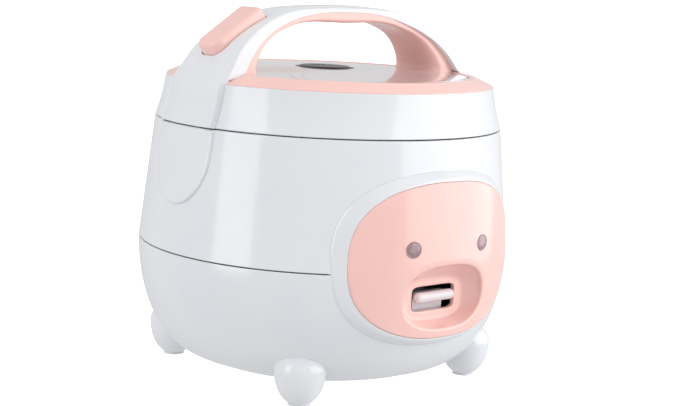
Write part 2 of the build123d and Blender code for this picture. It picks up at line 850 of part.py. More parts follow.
# ---- power inlet -----------------------------------------------------------------------
def inlet_cutter():
    return bar(
        -inlet_half_width,
        inlet_half_width,
        body_radius - 40,
        crown + 5,
        z_inlet - inlet_half_height,
        z_inlet + inlet_half_height,
    )


def make_power_inlet():
    y1 = crown
    body = bar(
        -inlet_half_width,
        inlet_half_width,
        y1 - inlet_depth,
        y1 - 2,
        z_inlet - inlet_half_height,
        z_inlet + inlet_half_height,
    )
    reach = inlet_flange - 0.5
    plate = bar(
        -inlet_half_width - reach,
        inlet_half_width + reach,
        y1 - 2,
        y1 + lens_proud,
        z_inlet - inlet_half_height - reach,
        z_inlet + inlet_half_height + reach,
    )
    socket = bar(
        -socket_half_width,
        socket_half_width,
        y1 - socket_depth,
        y1 + 3,
        z_inlet - socket_half_height,
        z_inlet + socket_half_height,
    )
    inlet = body + plate - socket
    for box in blade_boxes(y1 - inlet_depth - 1):
        inlet = inlet - box
    return inlet


def blade_boxes(y0):
    """The three flat blades, from y0 out into the socket."""
    y1 = crown - socket_depth + blade_length
    spots = ((-7.0, 1.6), (7.0, 1.6), (0.0, -2.6))
    return [bar(x - 1, x + 1, y0, y1, z_inlet + z - 2, z_inlet + z + 2) for x, z in spots]


def make_inlet_blades():
    return Compound(blade_boxes(crown - inlet_depth - 5))


# ---- hinge -----------------------------------------------------------------------------
def make_hinge_bracket():
    """Two ears on a back plate, let into the housing."""
    back = seam_radius - wall - 3.0
    low = z_seam - 12.5
    plate = bar(back, back + 2.0, -ear_outer, ear_outer, low, z_seam - 3.2)
    outline = side(
        (back, low), (hinge_x - 3, low), (hinge_x + knuckle_radius - 0.6, hinge_z - 3),
        (hinge_x + knuckle_radius - 0.4, hinge_z), (hinge_x, hinge_z + 2), (back, hinge_z + 2),
    )
    ear = slab(outline, knuckle_half + fit_gap, ear_outer)
    ear = ear + cross_pin(knuckle_radius, hinge_x, hinge_z, knuckle_half + fit_gap, ear_outer)
    bracket = plate + ear + mirror(ear, about=Plane.XZ)
    return bracket - cross_pin(hinge_pin_radius, hinge_x, hinge_z, -40, 40)


def make_hinge_pin():
    return cross_pin(hinge_pin_radius, hinge_x, hinge_z, -ear_outer, ear_outer)


def hinge_arm_shape(grow=0.0):
    """The arm's side view: a knuckle round the pin and a shank up into the lid."""
    k = knuckle_radius
    inner = liner_radius - grow
    outer = hinge_x + 1.5 + grow
    up = z_seam + 7.5 + grow
    outline = side(
        (hinge_x - k, hinge_z), (inner, hinge_z + 4.0), (inner, up), (outer - 3.2, up),
        (outer, z_seam + 1), (hinge_x + k, hinge_z),
    )
    return outline


def make_hinge_arm():
    """The lid's half of the hinge, screwed on to the liner."""
    shank = slab(hinge_arm_shape(), -knuckle_half, knuckle_half)
    knuckle = cross_pin(knuckle_radius, hinge_x, hinge_z, -knuckle_half, knuckle_half)
    z0 = z_liner + liner_wall
    leaf = bar(liner_radius - 18, liner_radius + 1, -knuckle_half, knuckle_half, z0, z0 + leaf_sheet)
    arm = shank + knuckle + leaf
    arm = arm - cross_pin(hinge_pin_radius + slip, hinge_x, hinge_z, -40, 40)
    arm = arm - bar(hinge_x - 12, hinge_x + 12, -5, 5, hinge_z - 12, hinge_z + 5.2)
    for y in (-leaf_screw_y, leaf_screw_y):
        arm = arm - rod(screw_hole, liner_radius - liner_leaf, y, z0 - 1, z0 + 5)
    return arm


def make_hinge_screws():
    x = liner_radius - liner_leaf
    z0 = z_liner + liner_wall + leaf_sheet
    return Compound([screw(x, y, z0, 4.4, up=-1) for y in (-leaf_screw_y, leaf_screw_y)])


def make_hinge_spring():
    """The torsion spring round the pin, between the two knuckles."""
    return coil(hinge_x, -4.3, hinge_z, 2.9, 0.5, 1.7, 8.6, (0, 1, 0))


# ---- lid -------------------------------------------------------------------------------
def make_lid_skirt():
    z0 = z_seam + seam_gap / 2
    levels = [z0 + (z_rim - z0) * step / 4 for step in range(5)]
    outer = [(skirt_radius(z), z) for z in levels]
    inner = [(r - skirt_wall, z) for r, z in outer]
    flange = inner[-1][0] - 10
    inner[-1] = (inner[-1][0], z_rim - skirt_wall)
    edge = [(flange, z_rim), (flange, z_rim - skirt_wall)]
    skirt = turned(*outer, *edge, *reversed(inner))
    proud = [(r + tongue_proud, z) for r, z in outer]
    pads = turned(*proud, *[(r - skirt_wall / 2, z) for r, z in reversed(outer)])
    skirt = skirt + (pads & tongue(-1)) + (pads & tongue(1))
    half = knuckle_half + fit_gap
    notch = slab(hinge_arm_shape(grow=0.9), -half, half)
    reach = bar(seam_radius - 6, body_radius + 9, -half, half, z_seam - 9, z_seam + 5)
    return skirt - notch - reach - latch_shaft()


def leg_footprint():
    """Where the strap's two legs stand on the lid."""
    reach = OPENING_LAW[-1][0] * strap_half
    clear = bar(-reach, reach, -strap_end_half - 9, strap_end_half + 9, z_rim - 9, z_top)
    return strap_plan() - clear


def strap_screw_places():
    x = strap_half * strap_screw_share
    return [(sx * x, sy * strap_screw_y) for sx in (-1, 1) for sy in (-1, 1)]


def make_lid_top():
    seat = rod(insert_radius + 0.2, 0, 0, z_insert - insert_wall, z_insert + 1)
    hollow = rod(lid_hollow, 0, 0, z_rim - 1, z_insert - insert_wall - 1.2)
    top = lid_top_solid() - (seat - leg_footprint()) - hollow
    top = top - Pos(0, vent_offset, z_rim) * Cylinder(tube_radius + 1.0, 40)
    for x, y in strap_screw_places():
        top = top - rod(screw_hole, x, y, z_rim - 5, z_lid + 5)
    return top - latch_shaft()


def dome(radius, z_edge, rise):
    """A solid under a shallow spherical crown."""
    arc = ThreePointArc((0, z_edge + rise), (radius * 0.5, z_edge + rise * 0.75), (radius, z_edge))
    rest = Polyline((radius, z_edge), (radius, z_edge - 8), (0, z_edge - 8), (0, z_edge + rise))
    return revolve(make_face(Plane.XZ * Curve([arc] + list(rest.edges()))), Axis.Z)


def make_lid_insert():
    under = dome(insert_radius + 1, z_insert - insert_wall, insert_rise)
    insert = dome(insert_radius, z_insert, insert_rise) - under
    insert = insert - Pos(0, vent_offset, z_insert) * Cylinder(vent_radius + 0.4, 30)
    return insert - leg_footprint()


def make_lid_liner():
    """The lid's inner pan: a flat rim at the seam and a step that drops into the gutter."""
    out = liner_radius
    t = liner_wall
    liner = turned(
        (0, z_step), (step_radius, z_step), (step_radius, z_liner), (out, z_liner), (out, z_liner + t),
        (step_radius - t, z_liner + t), (step_radius - t, z_step + t), (0, z_step + t),
    )
    liner = liner - Pos(0, vent_offset, z_step) * Cylinder(tube_radius - 2, 12)
    half = latch_slot_half
    liner = liner - bar(-seam_radius, -step_radius + 5, -half, half, z_step - 3, z_liner + 6)
    half = knuckle_half + fit_gap
    liner = liner - bar(out - 0.2, seam_radius + 9, -half, half, z_seam - 9, z_seam + 9)
    for sign in (-1, 1):
        y0 = sign * 8.2
        y1 = sign * 11.2
        lug = bar(hook_x - 3.6, hook_x + 5.0, min(y0, y1), max(y0, y1), z_liner, hook_z)
        lug = lug + cross_pin(3.6, hook_x, hook_z, min(y0, y1), max(y0, y1))
        liner = liner + lug
    liner = liner - cross_pin(hook_pin_radius, hook_x, hook_z, -30, 30)
    for y in (-leaf_screw_y, leaf_screw_y):
        liner = liner - rod(screw_radius, out - liner_leaf, y, z_step - 1, z_liner + t + 1)
    return liner


def make_inner_lid_plate():
    z1 = z_inner_plate
    plate = rod(inner_plate_radius, 0, 0, z1 - plate_thickness, z1)
    for turn in range(0, 360, 60):
        x = 8 * cos(radians(turn))
        y = vent_offset + 8 * sin(radians(turn))
        plate = plate - rod(1.2, x, y, z1 - 5, z1 + 5)
    return plate


def make_lid_gasket():
    """The silicone ring round the inner lid plate, just above the pot's rim."""
    r = inner_plate_radius
    z1 = z_inner_plate
    low = z_pot_top + fit_gap
    return turned(
        (r - gasket_half, low), (r + gasket_half, low), (r + gasket_half, z1), (r, z1),
        (r, z1 - plate_thickness), (r - gasket_half, z1 - plate_thickness),
    )


def make_steam_tube():
    """The tube that carries steam from the liner up through the lid."""
    top = z_insert + insert_rise - 3.2
    low = z_step + liner_wall
    bore = tube_radius - tube_wall
    flange = tube_radius + 4
    tube = turned((bore, low), (tube_radius, low), (tube_radius, top), (bore, top))
    foot = turned((bore, low), (flange, low), (flange, low + 1.5), (bore, low + 1.5))
    return Pos(0, vent_offset, 0) * (tube + foot)


def make_steam_cap():
    """The lift-off vent cap, with slots round its edge and a skirt that drops into the tube."""
    base = z_insert + insert_rise - 2.8
    top = z_insert + insert_rise + 0.8
    r = vent_radius
    skirt_r = tube_radius - tube_wall - fit_gap
    cap = turned(
        (0, top), (r - 3, top), (r, top - 1.4), (r, base), (skirt_r, base), (skirt_r, base - 8),
        (skirt_r - 1.4, base - 8), (skirt_r - 1.4, base + 1.2), (0, base + 1.2),
    )
    for turn in (60, 90, 120):
        x = 8.0 * cos(radians(turn))
        y = 8.0 * sin(radians(turn))
        cap = cap - Pos(x, y, top) * Rot(0, 0, turn) * Box(5, 1.4, 10)
    return Pos(0, vent_offset, 0) * cap


# ---- strap -----------------------------------------------------------------------------
def button_pocket():
    return slope_block(
        -button_half_length - button_gap,
        button_half_length + button_gap,
        -button_sunk - button_travel - 0.5,
        30,
        button_half_width + button_gap,
    )


def beside(law):
    """Everything under a strap curve, wider than the strap."""
    return slab(under_curve(law), -strap_half, strap_half)


def below_rim():
    """Everything under the lid's rim, so that the strap starts just above it."""
    return bar(-body_radius, body_radius, -strap_half, strap_half, z_rim - 9, z_rim + 0.01)


def make_handle_core():
    core = strap_solid(SEAM_LAW)
    core = core - beside(OPENING_LAW) - lid_top_solid() - below_rim()
    for x, y in strap_screw_places():
        core = core - rod(screw_radius, x, y, z_rim - 5, z_lid + 9)
    return core - button_pocket() - latch_shaft()


def make_handle_cover():
    cover = strap_solid(COVER_LAW) - beside(SEAM_LAW) - lid_top_solid() - below_rim()
    return cover - button_pocket() - latch_shaft()


def make_strap_screws():
    return Compound([screw(x, y, z_rim, 10.0) for x, y in strap_screw_places()])


# ---- latch -----------------------------------------------------------------------------
def make_latch_button():
    half_length = button_half_length
    block = slope_block(-half_length, half_length, -button_sunk, button_proud, button_half_width)
    block = fillet(block.faces().sort_by(Axis.Z)[-1].edges(), button_round)
    stem = slope_block(stem_along - 2, stem_along + 2, -11.0, -button_sunk, 4.5)
    return block + stem


def make_latch_hook():
    """The lever under the button: an arm up to the stem and a shank down to the toe."""
    x = hook_x
    z = hook_z
    arm_x = hook_arm_end[0]
    arm_z = hook_arm_end[1]
    arm = side((x - 1.5, z + 2.5), (arm_x - 2.5, arm_z - 0.8), (arm_x + 1.0, arm_z - 2.6), (x + 3.2, z - 1))
    shank = side(
        (x - 3.0, z), (x + 1.5, z - 1), (x - 2.4, z_seam - 1), (x - 2.4, z_strike - 1.2),
        (x + 0.6, z_strike - 1.2), (x + 0.6, z_strike - 4.2), (x - 5.4, z_strike - 4.2),
        (x - 5.4, z_seam - 1),
    )
    hook = slab(arm, -hook_half, hook_half) + slab(shank, -hook_half, hook_half)
    hook = hook + cross_pin(3.4, x, z, -hook_half, hook_half)
    return hook - cross_pin(hook_pin_radius + slip, x, z, -20, 20)


def make_hook_pin():
    return cross_pin(hook_pin_radius, hook_x, hook_z, -11.2, 11.2)


def make_latch_spring():
    """The torsion spring beside the hook, round its pin."""
    return coil(hook_x, hook_half + 0.5, hook_z, 2.3, 0.35, 0.9, 2.2, (0, 1, 0))


def make_latch_strike():
    """The steel catch on the gutter's floor that the hook's toe holds."""
    edge = hook_x - 1.6
    far = edge + 4.8
    top = bar(edge, far, -5.6, 5.6, z_strike, z_strike + strike_sheet)
    leg = bar(far - strike_sheet, far, -5.6, 5.6, z_gutter, z_strike)
    return top + leg


# ---- write every node ------------------------------------------------------------------
def all_parts():
    parts = {
        "base_shell": make_base_shell(),
        "bottom_cover": make_bottom_cover(),
        "cover_screws": make_cover_screws(),
        "foot_screws": make_foot_screws(),
        "body_shell": make_body_shell(),
        "rim_collar": make_rim_collar(),
        "pot_well": make_pot_well(),
        "well_posts": make_well_posts(),
        "heat_shield": make_heat_shield(),
        "heater_plate": make_heater_plate(),
        "heater_element": make_heater_element(),
        "heater_terminals": make_heater_terminals(),
        "heater_spacers": make_heater_feet(),
        "thermostat_cup": make_thermostat_cup(),
        "thermostat_ferrite": make_ferrite(),
        "thermostat_guide": make_thermostat_guide(),
        "thermostat_spring": make_thermostat_spring(),
        "magnet": make_magnet(),
        "magnet_rod": make_magnet_rod(),
        "thermal_fuse": make_thermal_fuse(),
        "warm_thermostat": make_warm_thermostat(),
        "inner_pot": make_inner_pot(),
        "face_panel": make_face_panel(),
        "face_bezel": make_face_bezel(),
        "lens_cook": make_lens(lens_places()[0]),
        "lens_warm": make_lens(lens_places()[1]),
        "indicator_board": make_indicator_board(),
        "lamp_cook": make_lamp(lens_places()[0]),
        "lamp_warm": make_lamp(lens_places()[1]),
        "cook_lever": make_cook_lever(),
        "lever_pin": make_lever_pin(),
        "lever_bracket": make_lever_bracket(),
        "micro_switch": make_micro_switch(),
        "power_inlet": make_power_inlet(),
        "inlet_blades": make_inlet_blades(),
        "hinge_bracket": make_hinge_bracket(),
        "hinge_pin": make_hinge_pin(),
        "hinge_spring": make_hinge_spring(),
        "hinge_arm": make_hinge_arm(),
        "hinge_screws": make_hinge_screws(),
        "lid_skirt": make_lid_skirt(),
        "lid_top": make_lid_top(),
        "lid_insert": make_lid_insert(),
        "lid_liner": make_lid_liner(),
        "inner_lid_plate": make_inner_lid_plate(),
        "lid_gasket": make_lid_gasket(),
        "steam_tube": make_steam_tube(),
        "steam_cap": make_steam_cap(),
        "handle_core": make_handle_core(),
        "handle_cover": make_handle_cover(),
        "strap_screws": make_strap_screws(),
        "latch_button": make_latch_button(),
        "latch_hook": make_latch_hook(),
        "hook_pin": make_hook_pin(),
        "latch_spring": make_latch_spring(),
        "latch_strike": make_latch_strike(),
    }
    for turn, name in enumerate(("right_back", "left_back", "left_front", "right_front")):
        parts["foot_" + name] = make_foot(90 * turn)
    return parts


os.makedirs("parts", exist_ok=True)
for name, shape in all_parts().items():
    export_step(shape, f"parts/{name}.step")
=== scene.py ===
"""The looks of the small rice cooker: its housing, face, lid, strap and feet, around the CAD frame."""

import json
import math

import bmesh
import bpy
import numpy as np
from mathutils import Matrix, Vector


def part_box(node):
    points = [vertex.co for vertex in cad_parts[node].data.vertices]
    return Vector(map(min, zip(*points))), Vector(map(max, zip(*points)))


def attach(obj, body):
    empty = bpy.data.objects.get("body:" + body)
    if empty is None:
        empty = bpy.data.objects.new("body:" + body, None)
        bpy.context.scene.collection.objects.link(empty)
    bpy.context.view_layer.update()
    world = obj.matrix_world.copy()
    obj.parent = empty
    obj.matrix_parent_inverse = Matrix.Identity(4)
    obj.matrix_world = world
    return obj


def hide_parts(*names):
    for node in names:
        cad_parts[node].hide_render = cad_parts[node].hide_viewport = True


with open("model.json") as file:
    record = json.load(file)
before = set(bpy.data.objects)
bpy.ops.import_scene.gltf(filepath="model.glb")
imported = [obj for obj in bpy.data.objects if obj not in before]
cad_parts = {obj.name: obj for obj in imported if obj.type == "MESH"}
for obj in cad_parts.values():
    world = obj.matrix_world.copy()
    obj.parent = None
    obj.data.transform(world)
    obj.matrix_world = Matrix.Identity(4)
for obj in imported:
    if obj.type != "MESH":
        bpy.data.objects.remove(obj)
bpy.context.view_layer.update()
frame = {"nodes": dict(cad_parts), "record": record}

MM = 0.001


def low(node):
    return np.array(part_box(node)[0])


def high(node):
    return np.array(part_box(node)[1])


# ---- sizes taken from the frame, in metres ---------------------------------------------
WAIST_R = high("base_shell")[0]
Z_FLAT = low("base_shell")[2]
Z_WAIST = low("body_shell")[2] - 0.25 * MM
Z_SEAM = high("body_shell")[2] + 0.25 * MM
Z_RIM = low("lid_top")[2]
Z_LID = high("lid_top")[2]
Z_TOP = high("handle_cover")[2]
SEAM_R = WAIST_R - 8.3 * MM
RIM_R = SEAM_R - 6.0 * MM
FLAT_R = WAIST_R - 38.0 * MM
PANEL_Z = (low("face_panel")[2] + high("face_panel")[2]) / 2
PANEL_H = (high("face_panel")[2] - low("face_panel")[2]) / 2
PANEL_W = high("face_panel")[0]
BEZEL_H = (high("face_bezel")[2] - low("face_bezel")[2]) / 2
BEZEL_W = high("face_bezel")[0]
CROWN = -low("face_panel")[1]
STRAP_HALF = high("handle_cover")[0]
STRAP_RISE = Z_TOP - Z_RIM
FOOT_X = (low("foot_right_back")[0] + high("foot_right_back")[0]) / 2
FOOT_TOP = high("foot_right_back")[2]

# ---- shape values the frame doesn't give -----------------------------------------------
WALL = 2.5 * MM
SEAM_GAP = 0.7 * MM  # the dark line at each seam
EDGE = 0.8 * MM  # rounding of moulded edges
TONGUE_HALF = 27.0 * MM
TONGUE_PROUD = 1.7 * MM
TONGUE_LOW = Z_SEAM - 47.0 * MM
TONGUE_ROUND = 34.0 * MM
PANEL_SAG = 3.0 * MM
OUTLINE_POWER = 2.5


# ---- mesh helpers ----------------------------------------------------------------------
def new_object(name, vertices, faces):
    mesh = bpy.data.meshes.new(name)
    mesh.from_pydata([tuple(v) for v in vertices], [], faces)
    piece = bpy.data.objects.new(name, mesh)
    bpy.context.collection.objects.link(piece)
    return piece


def clean(piece, distance=1e-6, recalc=True):
    """Merges doubles, drops empty faces and points the faces outwards."""
    work = bmesh.new()
    work.from_mesh(piece.data)
    bmesh.ops.remove_doubles(work, verts=work.verts, dist=distance)
    bmesh.ops.dissolve_degenerate(work, edges=work.edges, dist=distance)
    if recalc:
        bmesh.ops.recalc_face_normals(work, faces=work.faces)
    work.to_mesh(piece.data)
    work.free()
    return piece


def smooth(piece, angle=32):
    """Smooth shading, split where two faces meet at more than an angle."""
    piece.data.polygons.foreach_set("use_smooth", [True] * len(piece.data.polygons))
    piece.data.set_sharp_from_angle(angle=math.radians(angle))
    return piece


def baked(piece):
    """Applies the piece's modifiers to its mesh."""
    graph = bpy.context.evaluated_depsgraph_get()
    mesh = bpy.data.meshes.new_from_object(piece.evaluated_get(graph), depsgraph=graph)
    piece.modifiers.clear()
    piece.data = mesh
    return piece


def weighted(piece):
    """Normals weighted by face area, so broad faces stay flat beside small roundings."""
    change = piece.modifiers.new("weighted", "WEIGHTED_NORMAL")
    change.keep_sharp = True
    return baked(piece)


def skin(name, rings, cap_first=False, cap_last=False, closed=True, loop=False):
    """Joins rings of equally many points with quads; a cap closes an end with a fan."""
    count = len(rings[0])
    vertices = [point for ring in rings for point in ring]
    faces = []
    spans = len(rings) if loop else len(rings) - 1
    steps = count if closed else count - 1
    for i in range(spans):
        a = i * count
        b = ((i + 1) % len(rings)) * count
        for k in range(steps):
            n = (k + 1) % count
            faces.append((a + k, a + n, b + n, b + k))
    for cap, ring, flip in ((cap_first, 0, True), (cap_last, len(rings) - 1, False)):
        if cap:
            centre = len(vertices)
            vertices.append(np.mean(np.array(rings[ring]), axis=0))
            base = ring * count
            for k in range(count):
                n = (k + 1) % count
                face = (base + n, base + k, centre) if flip else (base + k, base + n, centre)
                faces.append(face)
    return clean(new_object(name, vertices, faces))


def rounded(points, radius, steps=5, closed=True):
    """A polygon's corners replaced by arcs; radius is one value or one for each corner."""
    points = [np.array(p, float) for p in points]
    count = len(points)
    radii = [radius] * count if np.isscalar(radius) else list(radius)
    result = []
    for i, p in enumerate(points):
        if radii[i] <= 0 or (not closed and i in (0, count - 1)):
            result.append(p)
            continue
        a = points[i - 1] - p
        b = points[(i + 1) % count] - p
        la = np.linalg.norm(a)
        lb = np.linalg.norm(b)
        a = a / la
        b = b / lb
        half = math.acos(max(-1.0, min(1.0, float(a @ b)))) / 2
        if half > math.radians(88.5):
            result.append(p)
            continue
        reach = min(radii[i] / math.tan(half), 0.45 * la, 0.45 * lb)
        r = reach * math.tan(half)
        centre = p + (a + b) / np.linalg.norm(a + b) * (r / math.sin(half))
        start = p + a * reach - centre
        end = p + b * reach - centre
        turn = math.acos(max(-1.0, min(1.0, float(start @ end) / (r * r))))
        for step in range(steps + 1):
            t = step / steps
            blend = (math.sin((1 - t) * turn) * start + math.sin(t * turn) * end) / math.sin(turn)
            result.append(centre + blend)
    return result


def turned(name, profile, segments=192, centre=(0.0, 0.0), angle=32):
    """A closed profile of (radius, z) turned about an upright axis."""
    rings = []
    angles = np.linspace(0, 2 * math.pi, segments, endpoint=False)
    for r, z in profile:
        x = centre[0] + r * np.cos(angles)
        y = centre[1] + r * np.sin(angles)
        rings.append(np.stack([x, y, np.full(segments, z)], axis=1))
    piece = skin(name, rings, loop=True)
    return weighted(smooth(piece, angle))


def curve_samples(law, count):
    """Points evenly spread along a smooth curve through a few given points."""
    law = np.array(law, float)
    steps = np.concatenate([[0], np.cumsum(np.linalg.norm(np.diff(law, axis=0), axis=1))])
    t = np.linspace(0, steps[-1], count)
    slopes = np.gradient(law, steps, axis=0, edge_order=2)
    result = []
    for value in t:
        i = min(int(np.searchsorted(steps, value, side="right")) - 1, len(steps) - 2)
        h = steps[i + 1] - steps[i]
        s = (value - steps[i]) / h
        h00 = 2 * s**3 - 3 * s**2 + 1
        h10 = s**3 - 2 * s**2 + s
        h01 = -2 * s**3 + 3 * s**2
        h11 = s**3 - s**2
        result.append(h00 * law[i] + h10 * h * slopes[i] + h01 * law[i + 1] + h11 * h * slopes[i + 1])
    return np.array(result)


def superellipse(half_width, half_height, z, power=OUTLINE_POWER, count=192):
    """A rounded outline (x, z) with evenly turned points."""
    angles = np.linspace(0, 2 * math.pi, count, endpoint=False)
    c = np.cos(angles)
    s = np.sin(angles)
    x = half_width * np.sign(c) * np.abs(c) ** (2 / power)
    up = half_height * np.sign(s) * np.abs(s) ** (2 / power)
    return np.stack([x, z + up], axis=1)


# ---- materials -------------------------------------------------------------------------
class Wire:
    """A socket whose arithmetic adds Math nodes."""

    def __init__(self, finish, socket):
        self.finish = finish
        self.socket = socket

    def math(self, operation, *others):
        values = {0: self}
        for place, other in enumerate(others):
            values[place + 1] = other
        return self.finish.add("ShaderNodeMath", {"operation": operation}, values)

    def __add__(self, other):
        return self.math("ADD", other)

    __radd__ = __add__

    def __mul__(self, other):
        return self.math("MULTIPLY", other)

    __rmul__ = __mul__

    def __sub__(self, other):
        return self.math("SUBTRACT", other)

    def __rsub__(self, other):
        return self.finish.add("ShaderNodeMath", {"operation": "SUBTRACT"}, {0: other, 1: self})

    def __truediv__(self, other):
        return self.math("DIVIDE", other)

    def __pow__(self, other):
        return self.math("POWER", other)


class Finish:
    """A material and its node tree."""

    def __init__(self, name):
        self.material = bpy.data.materials.new(name)
        self.material.use_nodes = True
        self.tree = self.material.node_tree
        self.shader = self.tree.nodes["Principled BSDF"]

    def add(self, kind, settings=None, values=None, out=0):
        """Adds a node: its settings first, then its sockets' values or links."""
        node = self.tree.nodes.new(kind)
        for key, value in (settings or {}).items():
            if key == "stops":
                ramp = node.color_ramp
                while len(ramp.elements) < len(value):
                    ramp.elements.new(0.5)
                for element, (place, colour) in zip(ramp.elements, value):
                    element.position = place
                    element.color = (*colour, 1) if len(colour) == 3 else colour
            else:
                setattr(node, key, value)
        for key, value in (values or {}).items():
            self.feed(node.inputs[key], value)
        return Wire(self, node.outputs[out])

    def feed(self, socket, value):
        if isinstance(value, Wire):
            self.tree.links.new(value.socket, socket)
        elif socket.type == "RGBA" and len(value) == 3:
            socket.default_value = (*value, 1)
        else:
            socket.default_value = value

    def set(self, **values):
        for key, value in values.items():
            self.feed(self.shader.inputs[key.replace("_", " ")], value)
        return self

    def place(self):
        return self.add("ShaderNodeTexCoord", out=3)

    def noise(self, scale, detail=3.0, rough=0.5, where=None):
        values = {"Vector": where or self.place(), "Scale": scale, "Detail": detail, "Roughness": rough}
        return self.add("ShaderNodeTexNoise", {"noise_dimensions": "3D"}, values)

    def mix(self, factor, a, b):
        return self.add("ShaderNodeMix", {"data_type": "RGBA"}, {0: factor, 6: a, 7: b}, out=2)

    def ramp(self, factor, stops):
        return self.add("ShaderNodeValToRGB", {"stops": stops}, {0: factor})

    def between(self, value, a, b, to_a=0.0, to_b=1.0):
        """A value mapped from one range to another, smoothly and clamped."""
        settings = {"interpolation_type": "SMOOTHSTEP"}
        values = {"Value": value, "From Min": a, "From Max": b, "To Min": to_a, "To Max": to_b}
        return self.add("ShaderNodeMapRange", settings, values)

    def bump(self, height, strength, distance):
        values = {"Height": height, "Strength": strength, "Distance": distance}
        return self.add("ShaderNodeBump", {}, values)

    def axes(self, where=None):
        """The x, y and z of the place on the piece."""
        node = self.tree.nodes.new("ShaderNodeSeparateXYZ")
        self.feed(node.inputs[0], where or self.place())
        return [Wire(self, socket) for socket in node.outputs]


def moulded(name, colour, shade, roughness=0.16, grain=0.04, coat=0.35):
    """Glossy moulded plastic: faint flow marks, orange peel and handling haze."""
    finish = Finish(name)
    flow = finish.noise(14.0, 4.0, 0.55)
    haze = finish.noise(55.0, 5.0, 0.6)
    peel = finish.noise(900.0, 2.0, 0.4)
    scuff = finish.noise(240.0, 6.0, 0.7)
    tone = finish.between(flow, 0.35, 0.7)
    rough = roughness + 0.05 * finish.between(haze, 0.45, 0.75) + 0.05 * finish.between(scuff, 0.62, 0.8)
    finish.set(
        Base_Color=finish.mix(tone, colour, shade),
        Roughness=rough,
        Coat_Weight=coat,
        Coat_Roughness=0.06,
        IOR=1.5,
        Normal=finish.bump(peel, grain, 0.0002),
    )
    return finish


def satin(name, colour, shade, roughness=0.45, scale=1400.0, strength=0.12):
    """Fine-textured plastic, rubber or painted metal."""
    finish = Finish(name)
    grain = finish.noise(scale, 3.0, 0.6)
    cloud = finish.noise(30.0, 4.0, 0.6)
    finish.set(
        Base_Color=finish.mix(finish.between(cloud, 0.3, 0.75), colour, shade),
        Roughness=roughness + 0.08 * grain,
        Normal=finish.bump(grain, strength, 0.0003),
    )
    return finish


def spun(name, colour, roughness=0.28, rings=900.0):
    """Spun sheet metal: fine rings about the upright axis."""
    finish = Finish(name)
    x, y, z = finish.axes()
    radius = (x * x + y * y) ** 0.5
    line = finish.noise(1.0, 4.0, 0.7, finish.add(
        "ShaderNodeCombineXYZ", {}, {0: radius * rings, 1: z * rings, 2: 0.0}
    ))
    smear = finish.noise(22.0, 3.0, 0.6)
    finish.set(
        Base_Color=finish.mix(finish.between(smear, 0.35, 0.7), colour, [c * 0.86 for c in colour]),
        Metallic=1.0,
        Roughness=roughness + 0.16 * line,
        Normal=finish.bump(line, 0.15, 0.0002),
    )
    return finish


def make_finishes():
    white = moulded("white_gloss", (0.80, 0.81, 0.83), (0.76, 0.775, 0.80))
    pink = moulded("salmon_gloss", (0.955, 0.60, 0.54), (0.93, 0.57, 0.515), roughness=0.2, coat=0.25)
    finishes = {
        "white_shell": white,
        "salmon_shell": pink,
        "vent_black": satin("vent_black", (0.012, 0.009, 0.010), (0.02, 0.014, 0.015), 0.3),
        "lever_white": moulded("lever_gloss", (0.78, 0.74, 0.76), (0.72, 0.68, 0.70), 0.12),
        "lid_inner": satin("lid_inner_satin", (0.72, 0.73, 0.74), (0.66, 0.67, 0.68), 0.42),
        "bare_aluminium": spun("spun_aluminium", (0.80, 0.81, 0.82)),
        "bright_steel": satin("plated_steel", (0.62, 0.63, 0.64), (0.5, 0.5, 0.52), 0.25, 700.0, 0.05),
        "silicone": satin("milky_silicone", (0.74, 0.75, 0.74), (0.68, 0.69, 0.68), 0.5, 500.0, 0.05),
        "element": satin("element_sheath", (0.16, 0.155, 0.15), (0.1, 0.09, 0.09), 0.5),
        "brass": satin("plain_brass", (0.68, 0.47, 0.18), (0.55, 0.36, 0.13), 0.3, 600.0, 0.05),
        "ferrite": satin("sintered_ferrite", (0.03, 0.03, 0.033), (0.05, 0.05, 0.05), 0.6),
        "board": satin("phenolic_board", (0.46, 0.30, 0.12), (0.40, 0.25, 0.10), 0.55),
        "black_plastic": satin("black_nylon", (0.015, 0.015, 0.016), (0.022, 0.022, 0.023), 0.38),
        "ceramic_white": satin("ceramic_sleeve", (0.70, 0.68, 0.62), (0.62, 0.60, 0.55), 0.6),
        "neon": satin("neon_glass", (0.85, 0.36, 0.2), (0.7, 0.28, 0.14), 0.15),
    }
    for slot in ("bright_steel", "brass"):
        finishes[slot].set(Metallic=1.0)
    finishes["lens_mauve"] = lens_finish()
    finishes["printed_film"] = print_finish()
    finishes["pot_coating"] = coating_finish()
    return finishes


def lens_finish():
    """Smoky mauve lens, darker at its rim, with fine rings moulded inside."""
    finish = Finish("lens_mauve")
    cloud = finish.noise(700.0, 3.0, 0.6)
    finish.set(
        Base_Color=finish.mix(finish.between(cloud, 0.35, 0.7), (0.33, 0.20, 0.22), (0.45, 0.30, 0.32)),
        Roughness=0.16 + 0.1 * cloud,
        Coat_Weight=0.5,
        Transmission_Weight=0.12,
    )
    return finish


def coating_finish():
    """The pot's dark non-stick coat with its fine speckle."""
    finish = Finish("pot_coating")
    speck = finish.between(finish.noise(2400.0, 2.0, 0.5), 0.66, 0.72)
    cloud = finish.noise(40.0, 4.0, 0.6)
    finish.set(
        Base_Color=finish.mix(speck, (0.035, 0.035, 0.038), (0.16, 0.16, 0.17)),
        Metallic=0.3,
        Roughness=0.34 + 0.12 * cloud,
        Normal=finish.bump(cloud, 0.1, 0.0004),
    )
    return finish


